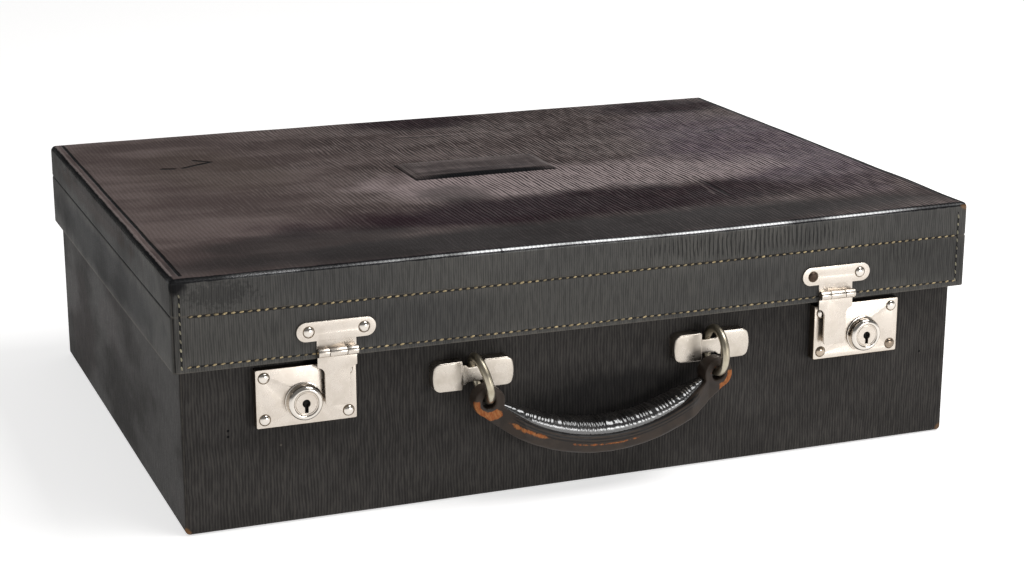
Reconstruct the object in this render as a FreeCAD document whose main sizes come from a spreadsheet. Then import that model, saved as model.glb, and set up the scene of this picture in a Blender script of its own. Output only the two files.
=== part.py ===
import FreeCAD, Part
import math
import os
import re

import Sketcher
from FreeCAD import Placement, Rotation, Vector

# Leather suitcase with an overlapping lid, standing on its bottom leather.
# +X runs to the right along the front, the front faces -Y, +Z is up, and the origin is on the
# floor under the middle of the lid. All sizes are in millimetres and degrees.

SIZES = {
    # overall
    "lid_width": 457.0,
    "lid_depth": 343.0,
    "case_height": 138.4,
    "lid_skirt": 48.4,
    # thicknesses of the shell
    "leather": 1.2,
    "base_board": 3.0,
    "lid_board": 2.6,
    "lining": 0.4,
    # room between the lid and the base inside it
    "side_clear": 0.4,
    "front_clear": 3.8,
    "back_clear": 0.4,
    "rim_gap": 0.2,
    # rounding of the shell, and the turned-down edge of the top leather
    "base_corner": 4.0,
    "lid_corner": 3.6,
    "top_edge": 3.0,
    "cover_turn": 19.0,
    # raised plate on the lid
    "name_wide": 90.4,
    "name_deep": 44.0,
    "name_rise": 1.6,
    "name_bevel": 1.1,
    "name_corner": 1.2,
    "name_back": 14.0,
    # domed pins that hold the plates
    "pin_head": 5.5,
    "pin_rise": 1.4,
    "pin_shank": 2.4,
    "pin_bite": 3.4,
    "hole_fit": 0.05,
    # locks
    "lock_inset": 68.5,
    "lock_wide": 53.0,
    "lock_tall": 31.0,
    "lock_hang": 19.2,
    "lock_deep": 5.0,
    "lock_wall": 0.8,
    "lock_plate": 0.8,
    "lock_corner": 0.8,
    "lock_pin_inset": 4.3,
    "left_boss_shift": 1.6,
    "right_boss_shift": 4.2,
    "boss_drop": 3.1,
    "boss_wide": 20.0,
    "boss_rise": 5.6,
    "boss_round": 2.6,
    "boss_lift": 0.3,
    "boss_travel": 5.0,
    "disc_wide": 13.0,
    "disc_thick": 2.4,
    "disc_sink": 0.4,
    "key_round": 4.2,
    "key_slot": 1.9,
    "key_drop": 5.2,
    "stem_wide": 5.0,
    "slide_fit": 0.3,
    "slider_thick": 2.4,
    "slider_tall": 8.0,
    "slider_tail": 6.0,
    "spring_wide": 2.8,
    "spring_bore": 1.6,
    # hasps
    "hasp_shift": 15.7,
    "hasp_wide": 42.0,
    "hasp_tall": 10.2,
    "hasp_thick": 1.2,
    "hasp_tongue": 0.8,
    "hasp_rise": 14.7,
    "hasp_pin_span": 29.4,
    "knuckle_wide": 5.0,
    "knuckle_rise": 3.6,
    "knuckle_mid": 9.0,
    "knuckle_gap": 0.3,
    "hasp_pin": 2.0,
    "pin_clear": 0.05,
    "flap_wide": 21.0,
    "flap_neck": 13.5,
    "flap_corner": 2.2,
    "flap_thick": 1.4,
    "flap_shoulder": 8.4,
    "flap_drop": 29.2,
    "catch_wide": 6.0,
    "catch_tall": 6.0,
    "catch_drop": 22.6,
    "catch_deep": 5.4,
    "catch_room": 0.6,
    "catch_fall": 1.5,
    "bolt_gap": 0.4,
    # handle brackets and rings
    "bracket_span": 139.0,
    "bracket_wide": 45.5,
    "bracket_tall": 16.0,
    "bracket_hang": 19.0,
    "bar_wide": 12.0,
    "bar_tall": 8.0,
    "bar_thick": 1.2,
    "bar_sink": 0.3,
    "ring_wide": 24.0,
    "ring_wire": 4.0,
    "ring_clear": 0.3,
    "left_ring_tilt": 14.0,
    "right_ring_tilt": 0.0,
    "stud_wide": 4.0,
    "stud_span": 29.0,
    "stud_head": 0.4,
    "washer_wide": 8.5,
    "washer_thick": 0.8,
    # handle
    "handle_less": 6.0,
    "handle_shift": 1.6,
    "handle_wide": 20.0,
    "handle_tall": 10.6,
    "handle_round": 2.5,
    "handle_sag": 26.0,
    "tab_wide": 17.0,
    "tab_thick": 9.0,
    "tab_hole": 7.5,
    "tab_lift": 3.5,
    "taper_inset": 5.5,
    "taper_long": 12.5,
    "grip_wide": 18.0,
    "grip_crown": 6.8,
    "grip_angle": 40.0,
    # back hinges
    "hinge_inset": 83.5,
    "hinge_wide": 36.0,
    "hinge_mid": 17.0,
    "hinge_leaf": 22.0,
    "hinge_thick": 1.2,
    "hinge_knuckle": 5.2,
    "hinge_pin": 2.6,
    "rivet_span": 22.0,
    "rivet_offset": 13.0,
}

# Places and sizes that follow from the driving ones.
DERIVED = {
    "hinge_z": "case_height - lid_skirt",
    "lid_wall": "leather + lid_board + lining",
    "lid_front": "0 - lid_depth / 2",
    "back": "lid_depth / 2",
    "base_half": "lid_width / 2 - lid_wall - side_clear",
    "base_front": "lid_front + lid_wall + front_clear",
    "base_long": "back - base_front",
    "base_mid": "(back + base_front) / 2",
    "rim_z": "case_height - lid_wall - rim_gap",
    "floor_z": "leather + base_board",
    "inner_half": "base_half - leather - base_board",
    "inner_front": "base_front + leather + base_board",
    "inner_back": "back - leather - base_board",
    "side_end": "min(inner_back; back - lid_wall - back_clear)",
    "lining_end": "min(side_end; inner_back - lining)",
    "lid_roof": "case_height - leather - lid_board",
    "lid_inner_half": "lid_width / 2 - leather - lid_board",
    "lid_inner_y": "lid_depth / 2 - leather - lid_board",
    "head_radius": "((pin_head / 2)^2 + pin_rise^2) / (2 * pin_rise)",
    "lock_x": "lid_width / 2 - lock_inset",
    "lock_level": "hinge_z - lock_hang",
    "hasp_x": "lock_x - hasp_shift",
    "hinge_x": "lid_width / 2 - hinge_inset",
    "bracket_level": "hinge_z - bracket_hang",
    "plate_back": "base_front - lock_deep",
    "plate_face": "plate_back - lock_plate",
    "boss_z": "lock_level - boss_drop",
    "knuckle_z": "hinge_z + knuckle_rise",
    "knuckle_y": "lid_front - knuckle_wide / 2 - knuckle_gap",
    "flap_back": "lid_front - knuckle_gap",
    "flap_end": "knuckle_z - flap_drop",
    "catch_z": "knuckle_z - catch_drop",
    "notch_end": "catch_z - catch_tall / 2 - catch_fall",
    "ring_y": "base_front - ring_clear - ring_wire / 2 - ring_wide / 2",
    "ring_inner": "ring_wide / 2 * cos(left_ring_tilt) - ring_wire / 2",
    "tunnel": "base_front - ring_y - sqrt(ring_inner^2 - (bar_tall / 2)^2) + ring_clear",
    "bracket_deep": "tunnel + bar_thick + bar_sink",
    "wall_inside": "inner_front + lining",
    "stud_end": "wall_inside + washer_thick + stud_head",
    "tab_rise": "ring_wide / 2 - sqrt((ring_wide / 2)^2 - (tab_thick / 2)^2)",
    "hang": "tab_hole / 2 - ring_wire / 2 - tab_rise - ring_clear",
    "ring_reach": "ring_wide / 2 + hang",
    "hole_z": "bracket_level - ring_reach * cos(left_ring_tilt)",
    "handle_half": "(bracket_span - handle_less) / 2",
    "handle_radius": "(handle_half^2 + handle_sag^2) / (2 * handle_sag)",
    "handle_centre": "hole_z - tab_lift - handle_sag + handle_radius",
    "grip_radius": "handle_radius - handle_tall / 2",
    "grip_end": "grip_radius * sin(grip_angle)",
    "grip_climb": "grip_radius * (1 - cos(grip_angle)) - grip_crown",
    "crown_radius": "(grip_end^2 + grip_climb^2) / (2 * grip_climb)",
    "hinge_y": "back + hinge_knuckle / 2 + knuckle_gap",
}

FACE_FRONT = Rotation(Vector(1, 0, 0), 90)
FACE_BACK = Rotation(Vector(1, 0, 0), -90)
ALONG = {"X": Rotation(Vector(0, 1, 0), 90), "Y": Rotation(Vector(1, 0, 0), -90), "Z": Rotation()}
SIDES = (("left", "-1"), ("right", "1"))
SAME = 1e-3
QUARTER = math.pi / 2

doc = FreeCAD.newDocument("suitcase")
sheet = doc.addObject("Spreadsheet::Sheet", "Sizes")
for row, (alias, value) in enumerate(SIZES.items(), start=1):
    sheet.set(f"A{row}", alias)
    sheet.set(f"B{row}", str(value))
    sheet.setAlias(f"B{row}", alias)
doc.recompute()

nodes = {}


def expand(text):
    """Write derived names out in full and point driving names at the sheet."""
    def swap(match):
        word = match.group()
        if word in DERIVED:
            return f"({expand(DERIVED[word])})"
        return f"Sizes.{word}" if word in SIZES else word
    return re.sub(r"[a-z_]+", swap, str(text))


def number(text):
    """The present value of a size expression."""
    value = sheet.evalExpression(expand(text))
    return float(getattr(value, "Value", value))


def bind(item, prop, text):
    item.setExpression(prop, expand(text))


def place(item, at, turn=None):
    """Put an object at a point given by three size expressions."""
    item.Placement = Placement(Vector(*[number(text) for text in at]), turn or Rotation())
    for axis, text in zip("xyz", at):
        bind(item, f"Placement.Base.{axis}", text)
    return item


def node(name, item):
    """Name a finished sub-part."""
    item.Label = name
    nodes[name] = item
    return item


def box(name, low, size):
    item = doc.addObject("Part::Box", name)
    for prop, text in zip(("Length", "Width", "Height"), size):
        bind(item, prop, text)
    return place(item, low)


def rod(name, start, wide, long, along):
    """A round bar from its start point along +X, +Y or +Z."""
    item = doc.addObject("Part::Cylinder", name)
    bind(item, "Radius", f"({wide}) / 2")
    bind(item, "Height", long)
    return place(item, start, ALONG[along])


def join(name, items):
    item = doc.addObject("Part::MultiFuse", name)
    item.Shapes = items
    item.Refine = True
    return item


def cut(name, base, tools):
    """Take one or more tools away from a base."""
    item = doc.addObject("Part::Cut", name)
    item.Base = base
    item.Tool = tools[0] if len(tools) == 1 else join(f"{name}_tools", tools)
    item.Refine = True
    return item


def common(name, base, tool):
    item = doc.addObject("Part::Common", name)
    item.Base = base
    item.Tool = tool
    item.Refine = True
    return item


def group(name, items):
    item = doc.addObject("Part::Compound", name)
    item.Links = items
    return item


def new_sketch(body, role, name):
    sketch = body.newObject("Sketcher::SketchObject", name)
    plane = next(f for f in body.Origin.OriginFeatures if f.Role == role)
    sketch.AttachmentSupport = (plane, [""])
    sketch.MapMode = "FlatFace"
    return sketch


def datum(sketch, constraint, text):
    index = sketch.addConstraint(constraint)
    bind(sketch, f"Constraints[{index}]", text)


def draw_rounded(sketch, half_x, low_y, high_y, radius):
    """A rectangle with four rounded corners, even about the sketch's upright axis."""
    x, low, high, r = (number(text) for text in (half_x, low_y, high_y, radius))
    corners = [(x - r, low + r), (x - r, high - r), (r - x, high - r), (r - x, low + r)]
    arcs = []
    for turn, (cx, cy) in enumerate(corners, start=-1):
        circle = Part.Circle(Vector(cx, cy, 0), Vector(0, 0, 1), r)
        arcs.append(sketch.addGeometry(Part.ArcOfCircle(circle, turn * QUARTER, (turn + 1) * QUARTER), False))
    lines = []
    for here, there in zip(arcs, arcs[1:] + arcs[:1]):
        ends = (sketch.Geometry[here].EndPoint, sketch.Geometry[there].StartPoint)
        lines.append(sketch.addGeometry(Part.LineSegment(*ends), False))
    for line, here, there in zip(lines, arcs, arcs[1:] + arcs[:1]):
        sketch.addConstraint(Sketcher.Constraint("Tangent", here, 2, line, 1))
        sketch.addConstraint(Sketcher.Constraint("Tangent", line, 2, there, 1))
    for arc in arcs[1:]:
        sketch.addConstraint(Sketcher.Constraint("Equal", arcs[0], arc))
    right, top, left, bottom = lines
    sketch.addConstraint(Sketcher.Constraint("Vertical", right))
    sketch.addConstraint(Sketcher.Constraint("Horizontal", top))
    datum(sketch, Sketcher.Constraint("Radius", arcs[0], r), radius)
    datum(sketch, Sketcher.Constraint("DistanceX", -1, 1, right, 1, x), half_x)
    datum(sketch, Sketcher.Constraint("DistanceX", left, 1, -1, 1, x), half_x)
    datum(sketch, Sketcher.Constraint("DistanceY", -1, 1, top, 1, high), high_y)
    datum(sketch, Sketcher.Constraint("DistanceY", -1, 1, bottom, 1, low), low_y)


def draw_outline(sketch, points):
    """A closed outline of straight runs through points given by size expressions."""
    spots = [Vector(number(x), number(y), 0) for x, y in points]
    lines = [sketch.addGeometry(Part.LineSegment(a, b), False) for a, b in zip(spots, spots[1:] + spots[:1])]
    for here, there in zip(lines, lines[1:] + lines[:1]):
        sketch.addConstraint(Sketcher.Constraint("Coincident", here, 2, there, 1))
    for line, spot, (x, y) in zip(lines, spots, points):
        datum(sketch, Sketcher.Constraint("DistanceX", -1, 1, line, 1, spot.x), x)
        datum(sketch, Sketcher.Constraint("DistanceY", -1, 1, line, 1, spot.y), y)


def draw_circle(sketch, x, y, wide):
    spot = Vector(number(x), number(y), 0)
    circle = sketch.addGeometry(Part.Circle(spot, Vector(0, 0, 1), number(wide) / 2), False)
    datum(sketch, Sketcher.Constraint("Radius", circle, number(wide) / 2), f"({wide}) / 2")
    datum(sketch, Sketcher.Constraint("DistanceX", -1, 1, circle, 3, spot.x), x)
    datum(sketch, Sketcher.Constraint("DistanceY", -1, 1, circle, 3, spot.y), y)


def pad(body, sketch, long, name, midplane=False):
    feature = body.newObject("PartDesign::Pad", name)
    feature.Profile = sketch
    feature.Midplane = midplane
    bind(feature, "Length", long)
    return feature


def revolve(body, sketch, axis, angle, name):
    """Turn a sketch about one of its own axes, evenly to both sides."""
    feature = body.newObject("PartDesign::Revolution", name)
    feature.Profile = sketch
    feature.ReferenceAxis = (sketch, [axis])
    feature.Midplane = True
    bind(feature, "Angle", angle)
    return feature


def rounded_prism(name, half_x, half_y, corner, long, at, turn=None, wall=None):
    """A rounded rectangle, or a band of the given wall inside it, raised along its own +Z."""
    body = doc.addObject("PartDesign::Body", name)
    sketch = new_sketch(body, "XY_Plane", f"{name}_outline")
    draw_rounded(sketch, half_x, f"0 - ({half_y})", half_y, corner)
    if wall:
        inner = f"({half_y}) - ({wall})"
        draw_rounded(sketch, f"({half_x}) - ({wall})", f"0 - ({inner})", inner, f"({corner}) - ({wall})")
    pad(body, sketch, long, f"{name}_pad")
    return place(body, at, turn)


def top_face(feature):
    """The name of the flat face that lies highest along the feature's own +Z."""
    doc.recompute()
    faces = feature.Shape.Faces
    return f"Face{1 + max(range(len(faces)), key=lambda i: faces[i].CenterOfMass.z)}"


def ease_top(body, kind, prop, size):
    """Round or bevel the whole edge of a prism's top face."""
    base = body.Tip
    face = top_face(base)
    feature = body.newObject(f"PartDesign::{kind}", f"{body.Name}_edge")
    feature.Base = (base, [face])
    bind(feature, prop, size)
    return body


def domed_pin(name, x, face, z, into, facing):
    """A pin with a domed head on a face, and a shank that goes in behind it."""
    front = facing == "front"
    head = doc.addObject("Part::Sphere", f"{name}_head")
    bind(head, "Radius", "head_radius")
    bind(head, "Angle1", "asin(1 - pin_rise / head_radius)")
    sink = "head_radius - pin_rise"
    centre = f"{face} + ({sink})" if front else f"{face} - ({sink})"
    place(head, (x, centre, z), FACE_FRONT if front else FACE_BACK)
    start = face if front else f"{face} - ({into})"
    return join(name, [head, rod(f"{name}_shank", (x, start, z), "pin_shank", into, "Y")])


def pin_hole(name, x, face, z, into, facing):
    """The bore for a pin's shank, a fit wider and a fit deeper than the shank."""
    start = face if facing == "front" else f"{face} - ({into}) - hole_fit"
    return rod(name, (x, start, z), "pin_shank + 2 * hole_fit", f"({into}) + hole_fit", "Y")


def knuckles(name, spans, x, y, z, wide):
    """Round hinge barrels along X; each span is a start and a length from the hinge's middle."""
    return [
        rod(f"{name}_{i}", (f"{x} + ({start})", y, z), wide, long, "X")
        for i, (start, long) in enumerate(spans)
    ]


def mirrored(distance):
    """A distance to the left and to the right of a middle."""
    return (f"0 - ({distance})", f"{distance}")


# Holes through the front of the base, the front of the lid and the two back walls are collected
# here while the fittings are made, and taken out of the shell afterwards.
holes = {"base_front": [], "lid_front": [], "base_back": [], "lid_back": [], "base_lining": []}


def make_lock(side, sign):
    """Case, face plate, pins, slider, boss, keyhole disc and spring of one lock."""
    x = f"{sign} * lock_x"
    boss_shift = f"{side}_boss_shift"
    boss_x = f"{sign} * (lock_x + {boss_shift})"
    catch_x = f"{sign} * hasp_x"
    low_z = "lock_level - lock_tall / 2"
    spots = [
        (f"{x} + ({dx})", f"lock_level + ({dz})")
        for dx in mirrored("lock_wide / 2 - lock_pin_inset")
        for dz in mirrored("lock_tall / 2 - lock_pin_inset")
    ]
    into = "lock_plate + lock_deep + pin_bite"
    bores = [pin_hole(f"{side}_lock_bore_{i}", px, "plate_face", pz, into, "front")
             for i, (px, pz) in enumerate(spots)]
    holes["base_front"] += bores
    notch = box(f"{side}_catch_notch",
                (f"{catch_x} - catch_wide / 2 - catch_room", "plate_face", "notch_end"),
                ("catch_wide + 2 * catch_room", "lock_plate + lock_deep - lock_wall", "lock_tall"))

    shell = box(f"{side}_case_block", (f"{x} - lock_wide / 2", "plate_back", low_z),
                ("lock_wide", "lock_deep", "lock_tall"))
    hollow = box(f"{side}_case_hollow", (f"{x} - lock_wide / 2 + lock_wall", "plate_back", f"{low_z} + lock_wall"),
                 ("lock_wide - 2 * lock_wall", "lock_deep - lock_wall", "lock_tall - 2 * lock_wall"))
    node(f"{side}_lock_case", cut(f"{side}_lock_case", shell, [hollow, notch] + bores))

    sheet_metal = rounded_prism(f"{side}_plate_blank", "lock_wide / 2", "lock_tall / 2", "lock_corner",
                                "lock_plate", (x, "plate_back", "lock_level"), FACE_FRONT)
    slot_long = "stem_wide + 2 * slide_fit + boss_travel"
    slot_shift = "boss_travel / 2"
    slot = box(f"{side}_stem_slot",
               (f"{boss_x} + {sign} * {slot_shift} - ({slot_long}) / 2", "plate_face",
                "boss_z - stem_wide / 2 - slide_fit"),
               (slot_long, "lock_plate", "stem_wide + 2 * slide_fit"))
    node(f"{side}_lock_plate", cut(f"{side}_lock_plate", sheet_metal, [slot, notch] + bores))

    pins = [domed_pin(f"{side}_lock_pin_{i}", px, "plate_face", pz, into, "front")
            for i, (px, pz) in enumerate(spots)]
    node(f"{side}_lock_pins", group(f"{side}_lock_pins", pins))

    # The slider runs from just short of the catch to a tail behind the boss.
    nose = f"{sign} * (hasp_x + catch_wide / 2 + bolt_gap)"
    tail = f"{boss_x} + {sign} * slider_tail"
    low_x = nose if sign == "1" else tail
    slider_long = f"lock_x + {boss_shift} + slider_tail - hasp_x - catch_wide / 2 - bolt_gap"
    blade = box(f"{side}_slider_blade", (low_x, "plate_back + slide_fit", "boss_z - slider_tall / 2"),
                (slider_long, "slider_thick", "slider_tall"))
    stem = rod(f"{side}_slider_stem", (boss_x, "plate_face - boss_lift", "boss_z"), "stem_wide",
               "boss_lift + lock_plate + slide_fit + slider_thick", "Y")
    node(f"{side}_lock_slider", join(f"{side}_lock_slider", [blade, stem]))

    node(f"{side}_lock_boss", make_boss(side, boss_x))
    disc_back = "plate_face - boss_lift - boss_rise + disc_sink"
    disc = rod(f"{side}_disc_blank", (boss_x, disc_back, "boss_z"), "disc_wide - 2 * hole_fit", "disc_thick", "Y")
    eye = rod(f"{side}_key_eye", (boss_x, disc_back, "boss_z"), "key_round", "disc_thick", "Y")
    slit = box(f"{side}_key_slit", (f"{boss_x} - key_slot / 2", disc_back, "boss_z - key_drop"),
               ("key_slot", "disc_thick", "key_drop"))
    node(f"{side}_keyhole_disc", cut(f"{side}_keyhole_disc", disc, [eye, slit]))

    spring_y = "plate_back + slide_fit + spring_wide / 2"
    spring_long = f"lock_wide / 2 - lock_wall - {boss_shift} - slider_tail"
    spring_x = tail if sign == "1" else f"{x} - lock_wide / 2 + lock_wall"
    coil = rod(f"{side}_spring_coil", (spring_x, spring_y, "boss_z"), "spring_wide", spring_long, "X")
    bore = rod(f"{side}_spring_core", (spring_x, spring_y, "boss_z"), "spring_bore", spring_long, "X")
    node(f"{side}_lock_spring", cut(f"{side}_lock_spring", coil, [bore]))


def make_boss(side, boss_x):
    """A turned cup with a rounded rim; the keyhole disc lies in it."""
    body = doc.addObject("PartDesign::Body", f"{side}_boss_body")
    sketch = new_sketch(body, "XZ_Plane", f"{side}_boss_section")
    well = "boss_rise - disc_sink - disc_thick"
    draw_outline(sketch, [("0", "0"), ("boss_wide / 2", "0"), ("boss_wide / 2", "boss_rise"),
                          ("disc_wide / 2", "boss_rise"), ("disc_wide / 2", well), ("0", well)])
    turned = revolve(body, sketch, "V_Axis", "360", f"{side}_boss_turned")
    doc.recompute()
    rim = number("boss_wide / 2")
    top = number("boss_rise")
    names = [f"Edge{i + 1}" for i, edge in enumerate(turned.Shape.Edges)
             if abs(edge.BoundBox.ZMin - top) < SAME and abs(edge.BoundBox.XMax - rim) < SAME]
    feature = body.newObject("PartDesign::Fillet", f"{side}_boss_rim")
    feature.Base = (turned, names)
    bind(feature, "Radius", "boss_round")
    return place(body, (boss_x, "plate_face - boss_lift", "boss_z"), FACE_FRONT)


def make_hasp(side, sign):
    """T-shaped plate with its outer knuckles, pins, hinge pin, flap and catch of one hasp."""
    x = f"{sign} * hasp_x"
    level = "hinge_z + hasp_rise"
    plate_y = "lid_front - hasp_thick"
    end_long = "flap_wide / 2 - knuckle_mid / 2 - knuckle_gap"
    ends = [("0 - flap_wide / 2", end_long), ("knuckle_mid / 2 + knuckle_gap", end_long)]
    middle = [("0 - knuckle_mid / 2", "knuckle_mid")]
    room = "knuckle_wide + 2 * knuckle_gap"
    axis = (x, "knuckle_y", "knuckle_z")
    spots = [f"{x} + ({dx})" for dx in mirrored("hasp_pin_span / 2")]
    into = "hasp_thick + pin_bite"
    bores = [pin_hole(f"{side}_hasp_bore_{i}", px, plate_y, level, into, "front") for i, px in enumerate(spots)]
    holes["lid_front"] += bores

    straight = "hasp_wide - hasp_tall"
    bar = box(f"{side}_hasp_bar", (f"{x} - ({straight}) / 2", plate_y, f"{level} - hasp_tall / 2"),
              (straight, "hasp_thick", "hasp_tall"))
    rounds = [rod(f"{side}_hasp_end_{i}", (f"{x} + ({dx})", plate_y, level), "hasp_tall", "hasp_thick", "Y")
              for i, dx in enumerate(mirrored(f"({straight}) / 2"))]
    tongue = box(f"{side}_hasp_tongue", (f"{x} - flap_wide / 2", "lid_front - hasp_tongue", "knuckle_z"),
                 ("flap_wide", "hasp_tongue", f"{level} - knuckle_z"))
    outer = knuckles(f"{side}_hasp_outer", ends, *axis, "knuckle_wide")
    solid = join(f"{side}_hasp_solid", [bar, tongue] + rounds + outer)
    gap = knuckles(f"{side}_hasp_room", [("0 - knuckle_mid / 2 - knuckle_gap", "knuckle_mid + 2 * knuckle_gap")],
                   *axis, room)
    bore_wide = "hasp_pin + 2 * pin_clear"
    whole = [("0 - flap_wide / 2", "flap_wide")]
    pin_bore = knuckles(f"{side}_hasp_pin_bore", whole, *axis, bore_wide)
    node(f"{side}_hasp_plate", cut(f"{side}_hasp_plate", solid, gap + pin_bore + bores))

    pins = [domed_pin(f"{side}_hasp_dome_{i}", px, plate_y, level, into, "front") for i, px in enumerate(spots)]
    node(f"{side}_hasp_pins", group(f"{side}_hasp_pins", pins))
    pin = knuckles(f"{side}_hasp_pin", whole, *axis, "hasp_pin")
    node(f"{side}_hasp_hinge_pin", pin[0])

    flap_y = "flap_back - flap_thick"
    top = f"knuckle_z - ({room}) / 2"
    step = "(flap_wide - flap_neck) / 2"
    shoulder = "knuckle_z - flap_shoulder"
    leaf = rounded_prism(f"{side}_flap_leaf", "flap_neck / 2", f"({top} - flap_end) / 2", "flap_corner",
                         "flap_thick", (x, "flap_back", f"({top} + flap_end) / 2"), FACE_FRONT)
    wide = box(f"{side}_flap_top", (f"{x} - flap_wide / 2", flap_y, shoulder),
               ("flap_wide", "flap_thick", f"{top} - ({shoulder})"))
    web = box(f"{side}_flap_web", (f"{x} - knuckle_mid / 2", flap_y, shoulder),
              ("knuckle_mid", "flap_thick", f"knuckle_z - ({shoulder})"))
    fills = [box(f"{side}_flap_fill_{i}", (start, flap_y, f"{shoulder} - ({step})"), (step, "flap_thick", step))
             for i, start in enumerate((f"{x} - flap_wide / 2", f"{x} + flap_neck / 2"))]
    sweeps = [rod(f"{side}_flap_sweep_{i}", (f"{x} + ({dx})", flap_y, f"{shoulder} - ({step})"),
                  f"2 * ({step})", "flap_thick", "Y") for i, dx in enumerate(mirrored("flap_wide / 2"))]
    blank = join(f"{side}_flap_blank", [leaf, wide, web] + fills + knuckles(f"{side}_flap_mid", middle, *axis,
                                                                           "knuckle_wide"))
    node(f"{side}_hasp_flap", cut(f"{side}_hasp_flap", blank, sweeps + pin_bore))
    node(f"{side}_hasp_catch",
         box(f"{side}_hasp_catch", (f"{x} - catch_wide / 2", "flap_back", "catch_z - catch_tall / 2"),
             ("catch_wide", "catch_deep", "catch_tall")))


def make_bracket(side, sign):
    """A nickel handle bracket with its waist bar, tunnel and studs, and the leaning ring behind the bar."""
    x = f"{sign} * bracket_span / 2"
    front = "base_front - bracket_deep"
    low_z = "bracket_level - bracket_tall / 2"
    block = box(f"{side}_bracket_block", (f"{x} - bracket_wide / 2", front, low_z),
                ("bracket_wide", "bracket_deep", "bracket_tall"))
    bow = rod(f"{side}_bracket_bow", (x, front, "bracket_level"), "bracket_wide", "bracket_deep", "Y")
    bowed = common(f"{side}_bracket_bowed", block, bow)
    waist = "(bracket_tall - bar_tall) / 2"
    bar_x = f"{x} - bar_wide / 2"
    notches = [box(f"{side}_waist_{i}", (bar_x, front, z), ("bar_wide", "bracket_deep", waist))
               for i, z in enumerate((low_z, "bracket_level + bar_tall / 2"))]
    tunnel = box(f"{side}_bar_tunnel", (bar_x, "base_front - tunnel", low_z), ("bar_wide", "tunnel", "bracket_tall"))
    recess = box(f"{side}_bar_recess", (bar_x, front, low_z), ("bar_wide", "bar_sink", "bracket_tall"))
    pads = cut(f"{side}_bracket_pads", bowed, notches + [tunnel, recess])
    spots = [f"{x} + ({dx})" for dx in mirrored("stud_span / 2")]
    stud_long = "stud_end - base_front"
    studs = [rod(f"{side}_stud_{i}", (px, "base_front", "bracket_level"), "stud_wide", stud_long, "Y")
             for i, px in enumerate(spots)]
    node(f"{side}_handle_bracket", join(f"{side}_handle_bracket", [pads] + studs))
    bores = [rod(f"{side}_stud_bore_{i}", (px, "base_front", "bracket_level"), "stud_wide + 2 * hole_fit",
                 stud_long, "Y") for i, px in enumerate(spots)]
    holes["base_front"] += bores
    holes["base_lining"] += bores
    discs = [rod(f"{side}_washer_disc_{i}", (px, "wall_inside", "bracket_level"), "washer_wide", "washer_thick", "Y")
             for i, px in enumerate(spots)]
    washers = [cut(f"{side}_washer_{i}", disc, [bore]) for i, (disc, bore) in enumerate(zip(discs, bores))]

    ring = doc.addObject("Part::Torus", f"{side}_handle_ring")
    bind(ring, "Radius1", "ring_wide / 2")
    bind(ring, "Radius2", "ring_wire / 2")
    lean = f"90 - {side}_ring_tilt"
    ring_x = f"{sign} * handle_half + handle_shift - ring_reach * sin({side}_ring_tilt)"
    place(ring, (ring_x, "ring_y", "bracket_level"), Rotation(Vector(0, 1, 0), number(lean)))
    bind(ring, "Placement.Rotation.Angle", lean)
    node(f"{side}_handle_ring", ring)
    return washers


def make_handle():
    """A curved slab with a holed tab at each end, and the padded grip on its inner curve."""
    centre = ("handle_shift", "ring_y", "handle_centre")
    tab_z = "handle_sag + tab_lift - handle_radius"
    body = doc.addObject("PartDesign::Body", "handle_slab")
    section = new_sketch(body, "YZ_Plane", "handle_section")
    draw_rounded(section, "handle_wide / 2", "0 - handle_radius - handle_tall / 2",
                 "handle_tall / 2 - handle_radius", "handle_round")
    revolve(body, section, "H_Axis", "2 * asin(handle_half / handle_radius)", "handle_bend")
    discs = new_sketch(body, "XZ_Plane", "handle_tabs")
    bores = new_sketch(body, "XZ_Plane", "handle_holes")
    for x in mirrored("handle_half"):
        draw_circle(discs, x, tab_z, "tab_wide")
        draw_circle(bores, x, tab_z, "tab_hole")
    pad(body, discs, "handle_wide", "handle_tab_pad", midplane=True)
    through = body.newObject("PartDesign::Pocket", "handle_hole_cut")
    through.Profile = bores
    through.Midplane = True
    bind(through, "Length", "handle_wide")
    place(body, centre)

    plan = doc.addObject("PartDesign::Body", "handle_plan")
    outline = new_sketch(plan, "XY_Plane", "handle_plan_outline")
    far = "handle_half + tab_wide"
    slim_x = "handle_half - taper_inset"
    wide = "handle_wide / 2"
    slim = "tab_thick / 2"
    corner = [(f"{slim_x} - taper_long", wide), (slim_x, slim), (far, slim)]
    around = [(x, f"0 - ({y})") for x, y in corner]
    around += [(x, y) for x, y in reversed(corner)]
    around += [(f"0 - ({x})", y) for x, y in corner]
    around += [(f"0 - ({x})", f"0 - ({y})") for x, y in reversed(corner)]
    draw_outline(outline, around)
    pad(plan, outline, "2 * (handle_radius + handle_tall)", "handle_plan_pad", midplane=True)
    place(plan, centre)
    node("handle_core", common("handle_core", body, plan))

    grip = doc.addObject("PartDesign::Body", "grip_pad")
    crown = new_sketch(grip, "YZ_Plane", "grip_section")
    draw_crown(crown, "grip_wide", "0 - grip_radius", "grip_crown")
    revolve(grip, crown, "H_Axis", "2 * grip_angle", "grip_bend")
    place(grip, centre)
    # A flatter arc over the crown thins it out towards both tabs.
    crown_z = "handle_centre - grip_radius + grip_crown + crown_radius"
    hollow = rod("grip_hollow", ("handle_shift", "ring_y - handle_wide", crown_z), "2 * crown_radius",
                 "2 * handle_wide", "Y")
    node("handle_grip", cut("handle_grip", common("grip_trim", grip, plan), [hollow]))


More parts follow.
